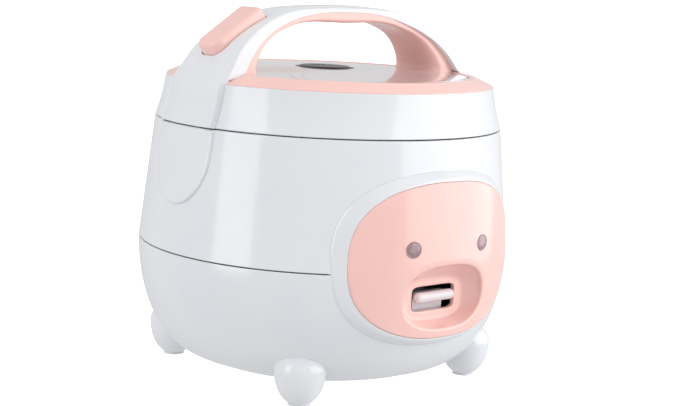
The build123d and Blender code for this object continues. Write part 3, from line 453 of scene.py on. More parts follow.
def print_finish():
    """The lid's printed insert: pale film, thin rose loops and a warm painted patch."""
    finish = Finish("printed_film")
    x, y, z = finish.axes()
    wobble = finish.noise(60.0, 3.0, 0.5) - 0.5
    cloud = finish.between(finish.noise(18.0, 2.0, 0.5), 0.3, 0.7)
    base = finish.mix(cloud, (0.74, 0.64, 0.635), (0.68, 0.60, 0.60))

    def ring(cx, cy, radius, width):
        """A thin circle; 1 on its line."""
        dx = x - cx
        dy = y - cy
        away = ((dx * dx + dy * dy) ** 0.5 - radius + wobble * 0.004).math("ABSOLUTE")
        return finish.between(away, 0.4 * width, width, 1.0, 0.0)

    line = ring(-0.017, -0.062, 0.050, 0.0011).math("MAXIMUM", ring(-0.014, -0.070, 0.050, 0.0009))
    line = line * finish.between(x, -0.024, -0.018, 1.0, 0.0)
    for spot in ((0.020, 0.062, 0.016), (0.030, 0.058, 0.022)):
        line = line.math("MAXIMUM", ring(*spot, 0.0009))
    dx = (x + 0.043) / 0.022
    dy = (y + 0.002) / 0.022
    reach = (dx * dx + dy * dy) ** 0.5 + wobble * 0.5
    patch = finish.between(reach, 0.9, 1.0, 1.0, 0.0)
    halo = finish.between(reach, 1.12, 1.2, 1.0, 0.0)
    streak = finish.noise(130.0, 5.0, 0.65)
    paint = finish.ramp(streak, [(0.3, (0.62, 0.19, 0.075)), (0.52, (0.72, 0.34, 0.15)), (0.75, (0.60, 0.44, 0.22))])
    colour = finish.mix(line, base, (0.50, 0.22, 0.29))
    colour = finish.mix(halo, colour, (0.76, 0.62, 0.56))
    colour = finish.mix(patch, colour, paint)
    finish.set(Base_Color=colour, Roughness=0.1 + 0.05 * streak, Coat_Weight=0.9, Coat_Roughness=0.04)
    return finish


finishes = make_finishes()


def dress(piece, slot, body, *nodes):
    """Gives a piece its finish, its body and the CAD nodes that it stands for."""
    piece.data.materials.clear()
    piece.data.materials.append(finishes[slot].material)
    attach(piece, body)
    if nodes:
        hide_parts(*nodes)
    return piece


# ---- surfaces of the housing -----------------------------------------------------------
def body_radius(z):
    """The housing's outer radius at a level below the lid seam."""
    if z >= Z_WAIST:
        return WAIST_R - (WAIST_R - SEAM_R) * (z - Z_WAIST) / (Z_SEAM - Z_WAIST)
    part = min(1.0, (Z_WAIST - z) / (Z_WAIST - Z_FLAT))
    return FLAT_R + (WAIST_R - FLAT_R) * math.sqrt(1 - part * part)


def skirt_radius(z):
    part = (z - Z_SEAM) / (Z_RIM - Z_SEAM)
    return SEAM_R - (SEAM_R - RIM_R) * (1.5 * part - 0.5 * part * part)


def barrel_radius(z):
    """The face panel's radius, a shallow arc bulging at the panel's middle."""
    reach = BEZEL_H + 1 * MM
    arc = (reach * reach + PANEL_SAG * PANEL_SAG) / (2 * PANEL_SAG)
    return CROWN - arc + math.sqrt(arc * arc - (z - PANEL_Z) ** 2)


def on_front(x, z, radius):
    """A point on the front of a round surface."""
    return (x, -math.sqrt(radius * radius - x * x), z)


def pierced(piece, half_width, half_height):
    """Opens a turned shell behind the face, where the bezel covers the edge."""
    work = bmesh.new()
    work.from_mesh(piece.data)
    inside = []
    for face in work.faces:
        c = face.calc_center_median()
        reach = abs(c.x / half_width) ** OUTLINE_POWER + abs((c.z - PANEL_Z) / half_height) ** OUTLINE_POWER
        if c.y < 0 and reach < 1:
            inside.append(face)
    bmesh.ops.delete(work, geom=inside, context="FACES")
    work.to_mesh(piece.data)
    work.free()
    return piece


def block(name, low_corner, high_corner):
    """A plain block, used only to cut with."""
    work = bmesh.new()
    bmesh.ops.create_cube(work, size=1)
    for vertex in work.verts:
        for axis in range(3):
            middle = (low_corner[axis] + high_corner[axis]) / 2
            vertex.co[axis] = middle + vertex.co[axis] * (high_corner[axis] - low_corner[axis])
    mesh = bpy.data.meshes.new(name)
    work.to_mesh(mesh)
    work.free()
    piece = bpy.data.objects.new(name, mesh)
    bpy.context.collection.objects.link(piece)
    return piece


def cut(piece, tool):
    """Takes a tool away from a piece and removes the tool."""
    change = piece.modifiers.new("cut", "BOOLEAN")
    change.operation = "DIFFERENCE"
    change.solver = "EXACT"
    change.object = tool
    bpy.context.view_layer.update()
    baked(piece)
    bpy.data.objects.remove(tool)
    return piece


def make_base():
    """The bowl, with its rolled edge at the waist."""
    z1 = Z_WAIST - SEAM_GAP / 2
    outer = []
    for angle in np.linspace(0, 90, 46):
        part = math.radians(angle)
        z = Z_WAIST - (Z_WAIST - Z_FLAT) * math.cos(part)
        if z < z1 - 0.1 * MM:
            outer.append((FLAT_R + (WAIST_R - FLAT_R) * math.sin(part), z))
    outer.append((WAIST_R, z1))
    inner = [(r - WALL * (0.25 + 0.75 * (z - Z_FLAT) / (z1 - Z_FLAT)), z + WALL) for r, z in outer[:-6]]
    profile = [(FLAT_R - 14 * MM, Z_FLAT)] + outer + [(WAIST_R - WALL, z1)]
    profile += list(reversed(inner)) + [(FLAT_R - 14 * MM, Z_FLAT + WALL)]
    profile = rounded(profile, [EDGE * 0.6 if abs(z - z1) < 1e-9 else 0 for r, z in profile], 3)
    piece = turned("base_shell_piece", profile, 288)
    inlet = (low("power_inlet") + high("power_inlet")) / 2
    half = (high("power_inlet")[0] - low("power_inlet")[0]) / 2 + 0.5 * MM
    tall = (high("power_inlet")[2] - low("power_inlet")[2]) / 2 + 0.5 * MM
    tool = block("inlet_tool", (-half, 0.08, inlet[2] - tall), (half, 0.14, inlet[2] + tall))
    cut(piece, tool)
    pierced(piece, PANEL_W + 3.4 * MM, BEZEL_H - 2.7 * MM)
    return dress(smooth(piece), "white_shell", "housing", "base_shell")


def make_inlet_boss():
    """The block that carries the inlet, standing out of the bowl's back with rounded edges."""
    lo = low("power_inlet")
    hi = high("power_inlet")
    half = (hi[0] - lo[0]) / 2
    tall = (hi[2] - lo[2]) / 2
    middle = (hi[2] + lo[2]) / 2
    depths = [0.098, 0.114, high("base_shell")[1] - 0.8 * MM, high("base_shell")[1] - 0.2 * MM, high("base_shell")[1]]
    grows = [3.4, 3.4, 3.4, 3.1, 2.4]
    rings = []
    for y, grow in list(zip(depths, grows)) + [(depths[-1], 0.3), (depths[0], 0.3)]:
        outline = box_outline(half + grow * MM, tall + grow * MM, (1.2 + grow) * MM)
        rings.append([(x, y, middle + z) for x, z in outline])
    piece = skin("inlet_boss_piece", rings, loop=True)
    return dress(weighted(smooth(piece, 40)), "white_shell", "housing")


def box_outline(half_width, half_height, radius, steps=8):
    """A rounded rectangle about the origin."""
    corners = [(1, 1), (-1, 1), (-1, -1), (1, -1)]
    points = []
    for turn, (sx, sy) in enumerate(corners):
        for step in range(steps + 1):
            angle = math.radians(90 * turn + 90 * step / steps)
            x = sx * (half_width - radius) + radius * math.cos(angle)
            points.append((x, sy * (half_height - radius) + radius * math.sin(angle)))
    return points


def make_body():
    """The upper housing with its top lip, open behind the face and at the hinge."""
    z0 = Z_WAIST + SEAM_GAP / 2
    z1 = Z_SEAM - SEAM_GAP / 2
    levels = np.linspace(z0, z1, 34)
    outer = [(body_radius(z), z) for z in levels]
    lip = low("rim_collar")
    gutter = high("rim_collar")[0]
    inner = [(r - WALL, z) for r, z in outer[:-2]]
    profile = outer + [(gutter + 0.3 * MM, z1), (gutter + 0.3 * MM, z1 - WALL)] + list(reversed(inner))
    radii = [0.0] * len(profile)
    radii[0] = EDGE * 0.6
    radii[33] = EDGE * 0.8
    piece = turned("body_shell_piece", rounded(profile, radii, 4), 288)
    hinge_notch(piece)
    pierced(piece, PANEL_W + 3.4 * MM, BEZEL_H - 2.7 * MM)
    return dress(piece, "white_shell", "housing", "body_shell")


def hinge_room():
    """Two corners of the room that the hinge's ears need in the housing's back edge."""
    lo = low("hinge_bracket")
    hi = high("hinge_bracket")
    grow = 0.4 * MM
    return (lo[0] - grow, lo[1] - grow, Z_SEAM - 12.9 * MM), (0.13, hi[1] + grow, Z_SEAM + 2 * MM)


def hinge_notch(piece):
    """Cuts the hinge's room out of a closed piece."""
    return smooth(cut(piece, block("hinge_tool", *hinge_room())))


def parted(piece, near, far):
    """Takes a box out of a thin surface, along planes through the box's sides."""
    work = bmesh.new()
    work.from_mesh(piece.data)
    for axis in range(3):
        for corner in (near, far):
            normal = [float(k == axis) for k in range(3)]
            geometry = work.verts[:] + work.edges[:] + work.faces[:]
            bmesh.ops.bisect_plane(work, geom=geometry, plane_co=corner, plane_no=normal)
    inside = []
    for face in work.faces:
        c = face.calc_center_median()
        if all(near[k] < c[k] < far[k] for k in range(3)):
            inside.append(face)
    bmesh.ops.delete(work, geom=inside, context="FACES")
    work.to_mesh(piece.data)
    work.free()
    return piece


def make_tongue(sign):
    """The raised tongue under the lid seam, with its rounded lower end."""
    top = Z_SEAM - SEAM_GAP / 2
    centre = TONGUE_LOW + TONGUE_ROUND
    outline = [(TONGUE_HALF * math.cos(a), centre + TONGUE_ROUND * math.sin(a)) for a in np.linspace(-math.pi, 0, 72)]
    outline += [(TONGUE_HALF, z) for z in np.linspace(centre, top, 14)[1:]]
    outline += [(y, top) for y in np.linspace(TONGUE_HALF, -TONGUE_HALF, 40)[1:]]
    outline += [(-TONGUE_HALF, z) for z in np.linspace(top, centre, 14)[1:-1]]
    outline = np.array(outline)
    ahead = np.roll(outline, -1, axis=0) - outline
    behind = outline - np.roll(outline, 1, axis=0)
    along = ahead / np.linalg.norm(ahead, axis=1)[:, None] + behind / np.linalg.norm(behind, axis=1)[:, None]
    along /= np.linalg.norm(along, axis=1)[:, None]
    inward = np.stack([-along[:, 1], along[:, 0]], axis=1)
    spots = []
    for inset, proud in ((0.0, -1.2), (0.0, 0.5), (0.12, 0.9), (0.4, 1.3), (0.85, 1.58), (1.4, 1.7), (2.2, 1.7)):
        spots.append((outline + inward * inset * MM, proud * MM))
    last = spots[-1][0]
    floor = TONGUE_LOW + TONGUE_ROUND * 0.8
    spine = np.stack([np.zeros(len(last)), np.clip(last[:, 1], floor, top - 6 * MM)], axis=1)
    for part in np.linspace(0, 0.97, 10)[1:]:
        spots.append((last + (spine - last) * part, TONGUE_PROUD))
    rings = []
    for points, proud in spots:
        ring = []
        for y, z in points:
            radius = body_radius(z) + proud
            ring.append((sign * math.sqrt(radius * radius - y * y), y, z))
        rings.append(ring)
    piece = skin("tongue_left" if sign < 0 else "tongue_right", rings, cap_first=True, cap_last=True)
    if sign > 0:
        parted(piece, *hinge_room())
    smooth(piece, 50)
    return dress(piece, "white_shell", "housing")


# ---- face ------------------------------------------------------------------------------
def outline_between(part, a=None, b=None):
    """The face's outlines: 0 is the panel's edge and 1 the bezel's."""
    return superellipse(PANEL_W + (BEZEL_W - PANEL_W) * part, PANEL_H + (BEZEL_H - PANEL_H) * part, PANEL_Z)


def make_bezel():
    """The white ring that rises out of the housing to the panel's edge."""
    rings = []
    for depth in (-3.0, 0.15):
        rings.append([on_front(x, z, body_radius(z) + depth * MM) for x, z in outline_between(1.0)])
    for part in np.linspace(0, 1, 17)[:-1]:
        lift = 0.45 * MM * (1 - (1 - min(1, part * 6)) ** 2)
        ring = []
        rise = math.sin(part * math.pi / 2) ** 1.25
        for x, z in outline_between(0.985 * (1 - part) + 0.0 * part):
            near = body_radius(z) + lift
            far = barrel_radius(z) - 0.55 * MM
            ring.append(on_front(x, z, near + (far - near) * rise))
        rings.append(ring)
    for inset, depth in ((0.0, 0.55), (-0.03, 0.75), (-0.06, 1.2), (-0.06, 5.0)):
        rings.append([on_front(x, z, barrel_radius(z) - depth * MM) for x, z in outline_between(inset)])
    piece = skin("face_bezel_piece", rings)
    return dress(smooth(piece, 50), "white_shell", "housing", "face_bezel")


def make_panel():
    """The salmon panel, its mouth-shaped recess and the slot in the recess's floor."""
    deep = -high("cook_lever")[2]
    floor_y = CROWN - 14.0 * MM
    mouth_z = PANEL_Z - 21.9 * MM
    plate_z = mouth_z - 3.0 * MM
    rings = []
    for shrink, depth in ((0.35, 4.0), (0.35, 0.8), (0.45, 0.35), (0.75, 0.08), (1.2, 0.0)):
        outline = superellipse(PANEL_W - shrink * MM, PANEL_H - shrink * MM, PANEL_Z)
        rings.append([on_front(x, z, barrel_radius(z) - depth * MM) for x, z in outline])
    edge = superellipse(PANEL_W - 1.2 * MM, PANEL_H - 1.2 * MM, PANEL_Z)
    lip = superellipse(32.6 * MM, 20.4 * MM, mouth_z)
    for part in np.linspace(0, 1, 18)[1:]:
        outline = edge + (lip - edge) * part
        rings.append([on_front(x, z, barrel_radius(z)) for x, z in outline])
    mouth = superellipse(31 * MM, 18.8 * MM, mouth_z)
    plate = superellipse(23 * MM, 13 * MM, plate_z, 3.2)
    for grow, depth in ((1.0, 0.15), (0.45, 0.55), (0.1, 1.15)):
        outline = superellipse((31 + grow) * MM, (18.8 + grow) * MM, mouth_z)
        rings.append([on_front(x, z, barrel_radius(z) - depth * MM) for x, z in outline])
    bottom = np.array([(x, -floor_y, z) for x, z in plate])
    rim = np.array([on_front(x, z, barrel_radius(z) - 2 * MM) for x, z in mouth])
    for part in (0.0, 0.15, 0.3, 0.45, 0.6, 0.75, 0.86):
        bow = 0.6 * MM * math.sin(part * math.pi)
        ring = rim + (bottom - rim) * part
        ring[:, 1] += bow
        rings.append(ring)
    inner = superellipse(21.2 * MM, 11.4 * MM, plate_z, 3.6)
    wall = np.array(rings[-1])
    tip = np.array([(x, -floor_y, z) for x, z in inner])
    corner = bottom
    for part in (0.2, 0.4, 0.6, 0.8, 1.0):
        rings.append((1 - part) ** 2 * wall + 2 * part * (1 - part) * corner + part**2 * tip)
    slot = superellipse(17 * MM, 7.6 * MM, plate_z, 7)
    wide = superellipse(17.5 * MM, 8.1 * MM, plate_z, 6.5)
    for part in (0.35, 0.7, 1.0):
        rings.append([(x, -floor_y, z) for x, z in inner + (wide - inner) * part])
    for points, depth in ((slot * 0.6 + wide * 0.4, 0.08), (slot, 0.4), (slot, 2.6)):
        rings.append([(x, -floor_y + depth * MM, z) for x, z in points])
    piece = skin("face_panel_piece", rings)
    return dress(smooth(piece, 40), "salmon_shell", "housing", "face_panel")


def make_lens(name):
    """A lens: a crowned window inside a thin dark rim."""
    lo = low(name)
    hi = high(name)
    middle = (lo + hi) / 2
    turn = math.atan2(middle[0], -middle[1])
    radius = (hi[2] - lo[2]) / 2
    out = CROWN + 0.3 * MM
    profile = [(0.0, 0.05), (0.45, 0.05), (0.78, -0.02), (0.84, -0.18), (0.88, -0.18), (0.93, 0.0), (0.98, -0.06), (1.0, -0.3), (1.0, -6.0)]
    rings = []
    angles = np.linspace(0, 2 * math.pi, 64, endpoint=False)
    for share, lift in reversed(profile):
        ring = []
        for a in angles:
            side_step = share * radius * math.cos(a)
            reach = out + lift * MM
            x = reach * math.sin(turn) + side_step * math.cos(turn)
            y = -reach * math.cos(turn) + side_step * math.sin(turn)
            ring.append((x, y, middle[2] + share * radius * math.sin(a)))
        rings.append(ring)
    piece = skin(name + "_piece", rings)
    return dress(smooth(piece, 40), "lens_mauve", "housing", name)


# ---- lid -------------------------------------------------------------------------------
def make_skirt():
    """The white skirt of the lid, curving in to the coloured rim."""
    z0 = Z_SEAM + SEAM_GAP / 2
    levels = np.linspace(z0, Z_RIM, 18)
    outer = [(skirt_radius(z), z) for z in levels]
    inner = [(r - 2.2 * MM, z) for r, z in outer[:-2]]
    flange = outer[-1][0] - 12 * MM
    profile = outer + [(flange, Z_RIM), (flange, Z_RIM - 2.2 * MM)] + list(reversed(inner))
    radii = [0.0] * len(profile)
    radii[0] = EDGE
    radii[17] = EDGE * 0.7
    piece = turned("lid_skirt_piece", rounded(profile, radii, 4), 256)
    half = high("hinge_arm")[1] + 0.4 * MM
    tool = block("arm_tool", (SEAM_R - 6 * MM, -half, Z_SEAM - 9 * MM), (0.13, half, Z_SEAM + 5 * MM))
    return dress(smooth(cut(piece, tool)), "white_shell", "lid", "lid_skirt")


def make_rim():
    """The salmon lid top: a wide bevel, a fine groove and the seat of the printed insert."""
    outer = RIM_R - 0.4 * MM
    insert = high("lid_insert")[0]
    edge = outer - 11.2 * MM
    seat = Z_LID - 2.2 * MM
    profile = [(54 * MM, Z_RIM), (outer, Z_RIM), (outer, Z_RIM + 0.5 * MM), (edge, Z_LID), (insert + 0.45 * MM, Z_LID)]
    profile += [(insert + 0.45 * MM, seat), (14 * MM, seat), (14 * MM, seat - 1 * MM), (54 * MM, seat - 1 * MM)]
    radii = [0, 0.2 * MM, 0.5 * MM, 2.5 * MM, 0.5 * MM, 0, 0, 0, 0]
    piece = turned("lid_top_piece", rounded(profile, radii, 6), 256)
    return dress(piece, "salmon_shell", "lid", "lid_top")


def make_insert():
    """The glossy printed insert, slightly crowned, round the steam vent."""
    radius = high("lid_insert")[0]
    edge_z = Z_LID - 0.4 * MM
    rise = 2.0 * MM
    vent = (low("steam_cap") + high("steam_cap")) / 2
    hole = (high("steam_cap")[0] - low("steam_cap")[0]) / 2 + 0.3 * MM
    angles = np.linspace(0, 2 * math.pi, 192, endpoint=False)
    ring_of = lambda r, cy: np.stack([r * np.cos(angles), cy + r * np.sin(angles)], axis=1)
    rings = []
    for r, drop in ((radius, 1.6), (radius, 0.5), (radius - 0.15 * MM, 0.18), (radius - 0.6 * MM, 0.02)):
        flat = ring_of(r, 0)
        rings.append(np.column_stack([flat, np.full(192, edge_z - drop * MM)]))
    near = ring_of(hole, vent[1])
    for part in list(np.linspace(0, 1, 24)):
        flat = ring_of(radius - 0.9 * MM, 0) * (1 - part) + near * part
        z = edge_z + rise * (1 - (flat**2).sum(axis=1) / radius**2)
        rings.append(np.column_stack([flat, z]))
    rings.append(np.column_stack([near, rings[-1][:, 2] - 1.4 * MM]))
    piece = skin("lid_insert_piece", rings)
    return dress(smooth(piece, 40), "printed_film", "lid", "lid_insert")


# ---- strap -----------------------------------------------------------------------------
COVER_LAW = ((0.0, 1.0), (0.24, 0.985), (0.47, 0.931), (0.77, 0.657), (0.92, 0.399))
SEAM_LAW = ((0.0, 0.908), (0.414, 0.807), (0.71, 0.506), (0.784, 0.356), (0.855, 0.142), (0.862, 0.06))
OPENING_LAW = ((0.0, 0.764), (0.42, 0.721), (0.62, 0.521), (0.705, 0.26), (0.712, 0.16), (0.68, 0.09))


def strap_curve(law, tail=()):
    """Half of a strap curve, from the strap's middle down to its foot."""
    points = [(STRAP_HALF * a, Z_RIM + STRAP_RISE * b) for a, b in law]
    mirrored = [(-x, z) for x, z in reversed(points[1:3])]
    return np.array(mirrored + points + list(tail)), len(mirrored)


def half_curve(law, count, tail=()):
    points, extra = strap_curve(law, tail)
    dense = curve_samples(points, 600)
    dense = dense[dense[:, 0] >= 0]
    dense = np.vstack([[0, dense[0][1]], dense])
    steps = np.concatenate([[0], np.cumsum(np.linalg.norm(np.diff(dense, axis=0), axis=1))])
    wanted = np.linspace(0, steps[-1], count)
    return np.stack([np.interp(wanted, steps, dense[:, 0]), np.interp(wanted, steps, dense[:, 1])], axis=1)


def strap_half_width(x):
    share = max(0.0, min(1.0, (abs(x) / STRAP_HALF - 0.4) / 0.61))
    return (15.5 + 11.5 * share**1.64) * MM


def mirrored_rings(rings):
    """Adds the -X half of a strap's rings, given from the middle outwards."""
    left = [ring * np.array([-1, 1, 1]) for ring in reversed(rings[1:])]
    return left + rings


def make_cover():
    """The white strap: crowned, crisp-edged, and running down into the tongues of the skirt."""
    top_tail = [(98.9 * MM, Z_RIM + 8.1 * MM), (103.2 * MM, Z_RIM + 2.1 * MM)]
    levels = [Z_RIM - 3.2 * MM, Z_RIM - 9.5 * MM, Z_RIM - 17.5 * MM, Z_SEAM + 0.5 * MM]
    tail = top_tail + [(skirt_radius(z) + TONGUE_PROUD, z) for z in levels]
    outer = half_curve(COVER_LAW, 96, tail)
    seam = half_curve(SEAM_LAW[:5], 200)
    rings = []
    reach = np.linalg.norm(np.diff(outer, axis=0), axis=1)
    steps = np.concatenate([[0], np.cumsum(reach)])
    foot = steps[np.argmin(np.abs(outer[:, 1] - (Z_RIM + 5 * MM)) + (outer[:, 0] < 0.05))]
    for index, (x, z) in enumerate(outer):
        share = min(1.0, steps[index] / foot)
        inner = seam[int(round(share * 199))]
        below = max(0.0, (Z_RIM + 5 * MM - z) / (8 * MM))
        depth_vector = inner - np.array([x, z])
        if below > 0:
            depth = max(2.9 * MM, 14.5 * MM * (1 - below) ** 2 if below < 1 else 0)
            depth_vector = np.array([-depth, 0.0])
        depth = np.linalg.norm(depth_vector)
        inwards = depth_vector / depth
        half = strap_half_width(x)
        turn = min(1.0, max(0.0, x / STRAP_HALF)) ** 2
        sag = (1.5 * (1 - turn) + 3.3 * turn) * MM
        rings.append(strap_section(x, z, half, sag, inwards, depth, 1.3 * MM, 0.3 * MM))
    piece = skin("handle_cover_piece", mirrored_rings(rings), cap_first=True, cap_last=True)
    return piece


def strap_section(x, z, half, sag, inwards, depth, outer_edge, inner_edge):
    """One closed section: a crowned outside, two rounded edges, side walls and a flat inside."""
    corner = [(half, depth), (half, outer_edge + sag)]
    right = [(half, depth - inner_edge), (half, sag + 2.0 * outer_edge)]
    steps = 7
    for step in range(1, steps + 1):
        angle = math.radians(90 * step / steps)
        right.append((half - outer_edge * (1 - math.cos(angle)), sag + outer_edge * (1 - math.sin(angle)) - 0.0))
    crown = []
    flat = half - outer_edge
    for y in np.linspace(flat, -flat, 25)[1:-1]:
        crown.append((y, sag * (y / flat) ** 2))
    left = [(-y, d) for y, d in reversed(right)]
    bottom = [(y, depth) for y in np.linspace(-half + inner_edge, half - inner_edge, 9)]
    return np.array([(x + inwards[0] * d, y, z + inwards[1] * d) for y, d in right + crown + left + bottom])


def make_core():
    """The salmon inner strap, with soft inner corners and legs that stand on the lid."""
    seam = half_curve(SEAM_LAW, 90)
    opening = half_curve(OPENING_LAW, 90)
    rings = []
    for (x, z), (ox, oz) in zip(seam, opening):
        gap = np.array([ox - x, oz - z])
        depth = np.linalg.norm(gap)
        inwards = gap / depth
        half = strap_half_width(x) - 0.45 * MM
        soft = min(0.42 * depth, 7 * MM)
        wide = min(1.5 * soft, 0.45 * half)
        right = [(half, 0.0), (half, 0.25 * (depth - soft)), (half, depth - soft)]
        for step in range(1, 9):
            angle = math.radians(90 * step / 8)
            right.append((half - wide * (1 - math.cos(angle)), depth - soft * (1 - math.sin(angle))))
        hollow = 0.9 * MM * min(1.0, depth / (12 * MM))
        middle = []
        flat = half - wide
        for y in np.linspace(flat, -flat, 15)[1:-1]:
            middle.append((y, depth - hollow * (1 - (y / flat) ** 2) ** 2))
        left = [(-y, d) for y, d in reversed(right)]
        outside = [(y, 0.0) for y in np.linspace(-half, half, 9)[1:-1]]
        section = right + middle + left + outside
        rings.append(np.array([(x + inwards[0] * d, y, z + inwards[1] * d) for y, d in section]))
    piece = skin("handle_core_piece", mirrored_rings(rings), cap_first=True, cap_last=True)
    return piece


class Slope:
    """The button's frame on the strap's -X slope."""

    low_end = np.array([-(0.92 * STRAP_HALF + 4 * MM), Z_RIM + 0.30 * STRAP_RISE])
    high_end = np.array([-0.58 * STRAP_HALF, Z_RIM + 0.861 * STRAP_RISE])
    middle = (low_end + high_end) / 2
    along = (high_end - low_end) / np.linalg.norm(high_end - low_end)
    out = np.array([-along[1], along[0]])

    @classmethod
    def point(cls, a, y, o):
        x, z = cls.middle + cls.along * a + cls.out * o
        return (x, y, z)


def button_outline(grow):
    """The button seen from outside: round at its lower end, squarer at its upper end."""
    half_length = 21 * MM + grow
    half_width = 11 * MM + grow
    corners = [(half_length, half_width, 3.2), (-half_length, half_width, 8.0), (-half_length, -half_width, 8.0), (half_length, -half_width, 3.2)]
    points = rounded([c[:2] for c in corners], [max(0.4 * MM, c[2] * MM + grow) for c in corners], 12)
    return np.array(points)


def make_button():
    """The release button, standing out of the strap with a softly crowned top."""
    rings = []
    for grow, height in ((0, -4.0), (0, 0), (0, 3.0), (-0.12, 5.4), (-0.45, 6.4), (-1.05, 7.05), (-1.9, 7.36), (-3.2, 7.45), (-5.5, 7.5), (-8.0, 7.5)):
        rings.append([Slope.point(a, y, height * MM) for a, y in button_outline(grow * MM)])
    piece = skin("latch_button_piece", rings, cap_first=True, cap_last=True)
    return dress(smooth(piece, 50), "salmon_shell", "button", "latch_button")


def pocket_tool():
    """The room round the button and its stem."""
    rings = []
    for height in (-7.0, 30.0):
        rings.append([Slope.point(a, y, height * MM) for a, y in button_outline(0.55 * MM)])
    return skin("pocket_tool", rings, cap_first=True, cap_last=True)


def shaft_tool():
    lo = low("latch_hook")
    return block("shaft_tool", (lo[0] - 3 * MM, -6.5 * MM, lo[2] - 3 * MM), (high("latch_hook")[0] + 3 * MM, 6.5 * MM, high("latch_hook")[2] + 4 * MM))


def make_strap():
    for make, slot, node in ((make_cover, "white_shell", "handle_cover"), (make_core, "salmon_shell", "handle_core")):
        piece = make()
        cut(piece, pocket_tool())
        dress(smooth(piece, 45), slot, "lid", node)


# ---- feet and pot ----------------------------------------------------------------------
def make_feet():
    """Four egg-shaped feet, one mesh set on four points by Geometry Nodes."""
    pad = 7 * MM
    radius = (high("foot_right_back")[0] - low("foot_right_back")[0]) / 2
    widest = 23 * MM
    profile = [(0.6 * MM, 0.0), (pad - 0.6 * MM, 0.0), (pad, 0.25 * MM)]
    for angle in np.linspace(-74, 0, 22)[1:]:
        part = math.radians(angle)
        profile.append((pad * 0.0 + radius * math.cos(part) ** 0.86, widest + widest * math.sin(part)))
    for angle in np.linspace(0, 88, 22)[1:]:
        part = math.radians(angle)
        profile.append((radius * math.cos(part), widest + (FOOT_TOP - widest) * math.sin(part)))
    profile = [p for i, p in enumerate(profile) if i < 3 or p[1] > 0.5 * MM]
    angles = np.linspace(0, 2 * math.pi, 64, endpoint=False)
    rings = [np.stack([r * np.cos(angles), r * np.sin(angles), np.full(64, z)], axis=1) for r, z in profile]
    egg = skin("egg", rings, cap_first=True, cap_last=True)
    smooth(egg, 40)
    points = [(sx * FOOT_X, sy * FOOT_X, 0) for sx in (-1, 1) for sy in (-1, 1)]
    spots = new_object("feet_piece", points, [])
    piece = instanced(spots, egg)
    return dress(piece, "white_shell", "housing", "foot_left_front", "foot_left_back", "foot_right_front", "foot_right_back")


def instanced(spots, shape):
    """Puts a shape on every point of a piece with Geometry Nodes and keeps the plain mesh."""
    tree = bpy.data.node_groups.new("on_points", "GeometryNodeTree")
    tree.interface.new_socket("Geometry", in_out="INPUT", socket_type="NodeSocketGeometry")
    scale = tree.interface.new_socket("Size", in_out="INPUT", socket_type="NodeSocketFloat")
    tree.interface.new_socket("Geometry", in_out="OUTPUT", socket_type="NodeSocketGeometry")
    start = tree.nodes.new("NodeGroupInput")
    end = tree.nodes.new("NodeGroupOutput")
    info = tree.nodes.new("GeometryNodeObjectInfo")
    info.inputs["Object"].default_value = shape
    place = tree.nodes.new("GeometryNodeInstanceOnPoints")
    real = tree.nodes.new("GeometryNodeRealizeInstances")
    tree.links.new(start.outputs[0], place.inputs["Points"])
    tree.links.new(info.outputs["Geometry"], place.inputs["Instance"])
    tree.links.new(start.outputs[1], place.inputs["Scale"])
    tree.links.new(place.outputs[0], real.inputs[0])
    tree.links.new(real.outputs[0], end.inputs[0])
    change = spots.modifiers.new("on_points", "NODES")
    change.node_group = tree
    change[scale.identifier] = 1.0
    bpy.context.view_layer.update()
    baked(spots)
    bpy.data.objects.remove(shape)
    return spots


make_base()
make_inlet_boss()
make_body()
make_tongue(-1)
make_tongue(1)
make_bezel()
make_panel()
make_lens("lens_cook")
make_lens("lens_warm")
make_skirt()
make_rim()
make_insert()
make_strap()
make_button()
make_feet()

# ---- camera, light and floor -----------------------------------------------------------
def make_camera():
    """The camera, a little above the lid and turned to the cooker's left front."""
    turn = math.radians(-39.25)
    distance = 0.938
    height = 0.2583
    pitch = math.radians(9.19)
    roll = math.radians(-2.77)
    yaw = math.radians(0.56)
    ahead = Vector((-math.sin(turn), math.cos(turn), 0))
    right = Vector((math.cos(turn), math.sin(turn), 0))
    up = Vector((0, 0, 1))
    place = Vector((distance * math.sin(turn), -distance * math.cos(turn), height))
    ahead, right = ahead * math.cos(yaw) + right * math.sin(yaw), right * math.cos(yaw) - ahead * math.sin(yaw)
    ahead, up = ahead * math.cos(pitch) - up * math.sin(pitch), up * math.cos(pitch) + ahead * math.sin(pitch)
    right, up = right * math.cos(roll) - up * math.sin(roll), up * math.cos(roll) + right * math.sin(roll)
    data = bpy.data.cameras.new("camera")
    data.lens = 78.44
    data.clip_end = 20
    camera = bpy.data.objects.new("camera", data)
    bpy.context.collection.objects.link(camera)
    axes = Matrix((right, up, -ahead)).transposed()
    camera.matrix_world = Matrix.Translation(place) @ axes.to_4x4()
    bpy.context.scene.camera = camera
    return camera


def softbox(name, place, target, width, height, power, colour=(1, 1, 1)):
    """A rectangular area light that faces a point."""
    data = bpy.data.lights.new(name, "AREA")
    data.shape = "RECTANGLE"
    data.size = width
    data.size_y = height
    data.energy = power
    data.color = colour
    lamp = bpy.data.objects.new(name, data)
    bpy.context.collection.objects.link(lamp)
    aim = Vector(target) - Vector(place)
    lamp.matrix_world = Matrix.Translation(Vector(place)) @ aim.to_track_quat("-Z", "Y").to_matrix().to_4x4()
    return lamp


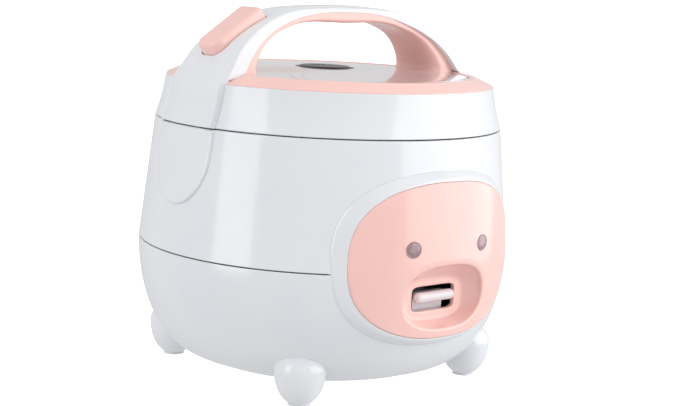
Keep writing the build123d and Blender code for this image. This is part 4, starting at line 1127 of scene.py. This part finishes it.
def glow_card(name, corners, strength):
    """A plain white card that gives off light, out of the camera's view or behind the object."""
    card = new_object(name, corners, [(0, 1, 2, 3)])
    paint = Finish(name + "_paint")
    paint.set(Base_Color=(0.9, 0.9, 0.9), Emission_Color=(1, 1, 1), Emission_Strength=strength)
    card.data.materials.append(paint.material)
    card.visible_diffuse = False
    card.visible_glossy = False
    return card


def make_stage():
    """A white floor and backdrop in a grey room, with tall softboxes left and right."""
    glow_card("floor", [(-7, -7, 0), (7, -7, 0), (7, 7, 0), (-7, 7, 0)], FLOOR_GLOW)
    ahead = Vector((0.633, 0.774, 0))
    right = Vector((0.774, -0.633, 0))
    middle = ahead * 3.0
    corners = [middle - right * 7, middle + right * 7]
    corners += [corners[1] + Vector((0, 0, 5)), corners[0] + Vector((0, 0, 5))]
    glow_card("backdrop", corners, BACKDROP_GLOW)
    bpy.context.scene.view_settings.view_transform = "Standard"
    world = bpy.data.worlds.new("studio")
    world.use_nodes = True
    back = world.node_tree.nodes["Background"]
    back.inputs["Color"].default_value = (0.97, 0.98, 1.0, 1)
    back.inputs["Strength"].default_value = ROOM_LIGHT
    bpy.context.scene.world = world
    around = -ahead
    left = -right
    turn = math.radians(54)
    side = around * math.cos(turn) + left * math.sin(turn)
    softbox("strip_left", side * 1.6 + Vector((0, 0, 0.5)), (0, 0, 0.12), 0.75, 1.8, LEFT_POWER)
    turn = math.radians(84)
    side = around * math.cos(turn) + right * math.sin(turn)
    softbox("key_right", side * 1.6 + Vector((0, 0, 0.55)), (0, 0, 0.12), 2.5, 1.8, RIGHT_POWER)
    softbox("top", (0.1, 0.2, 1.9), (0, 0, 0.1), 1.5, 1.5, TOP_POWER)


FLOOR_GLOW = 1.05
BACKDROP_GLOW = 1.05
ROOM_LIGHT = 0.70
LEFT_POWER = 9.0
RIGHT_POWER = 28.0
TOP_POWER = 3.0

make_camera()
make_stage()

# ---- dress the CAD nodes that stay -----------------------------------------------------
slots = {part["node"]: part["material_slot"] for part in frame["record"]["subparts"]}
for node, shown in frame["nodes"].items():
    for place in range(len(shown.material_slots)):
        shown.material_slots[place].material = finishes[slots[node]].material
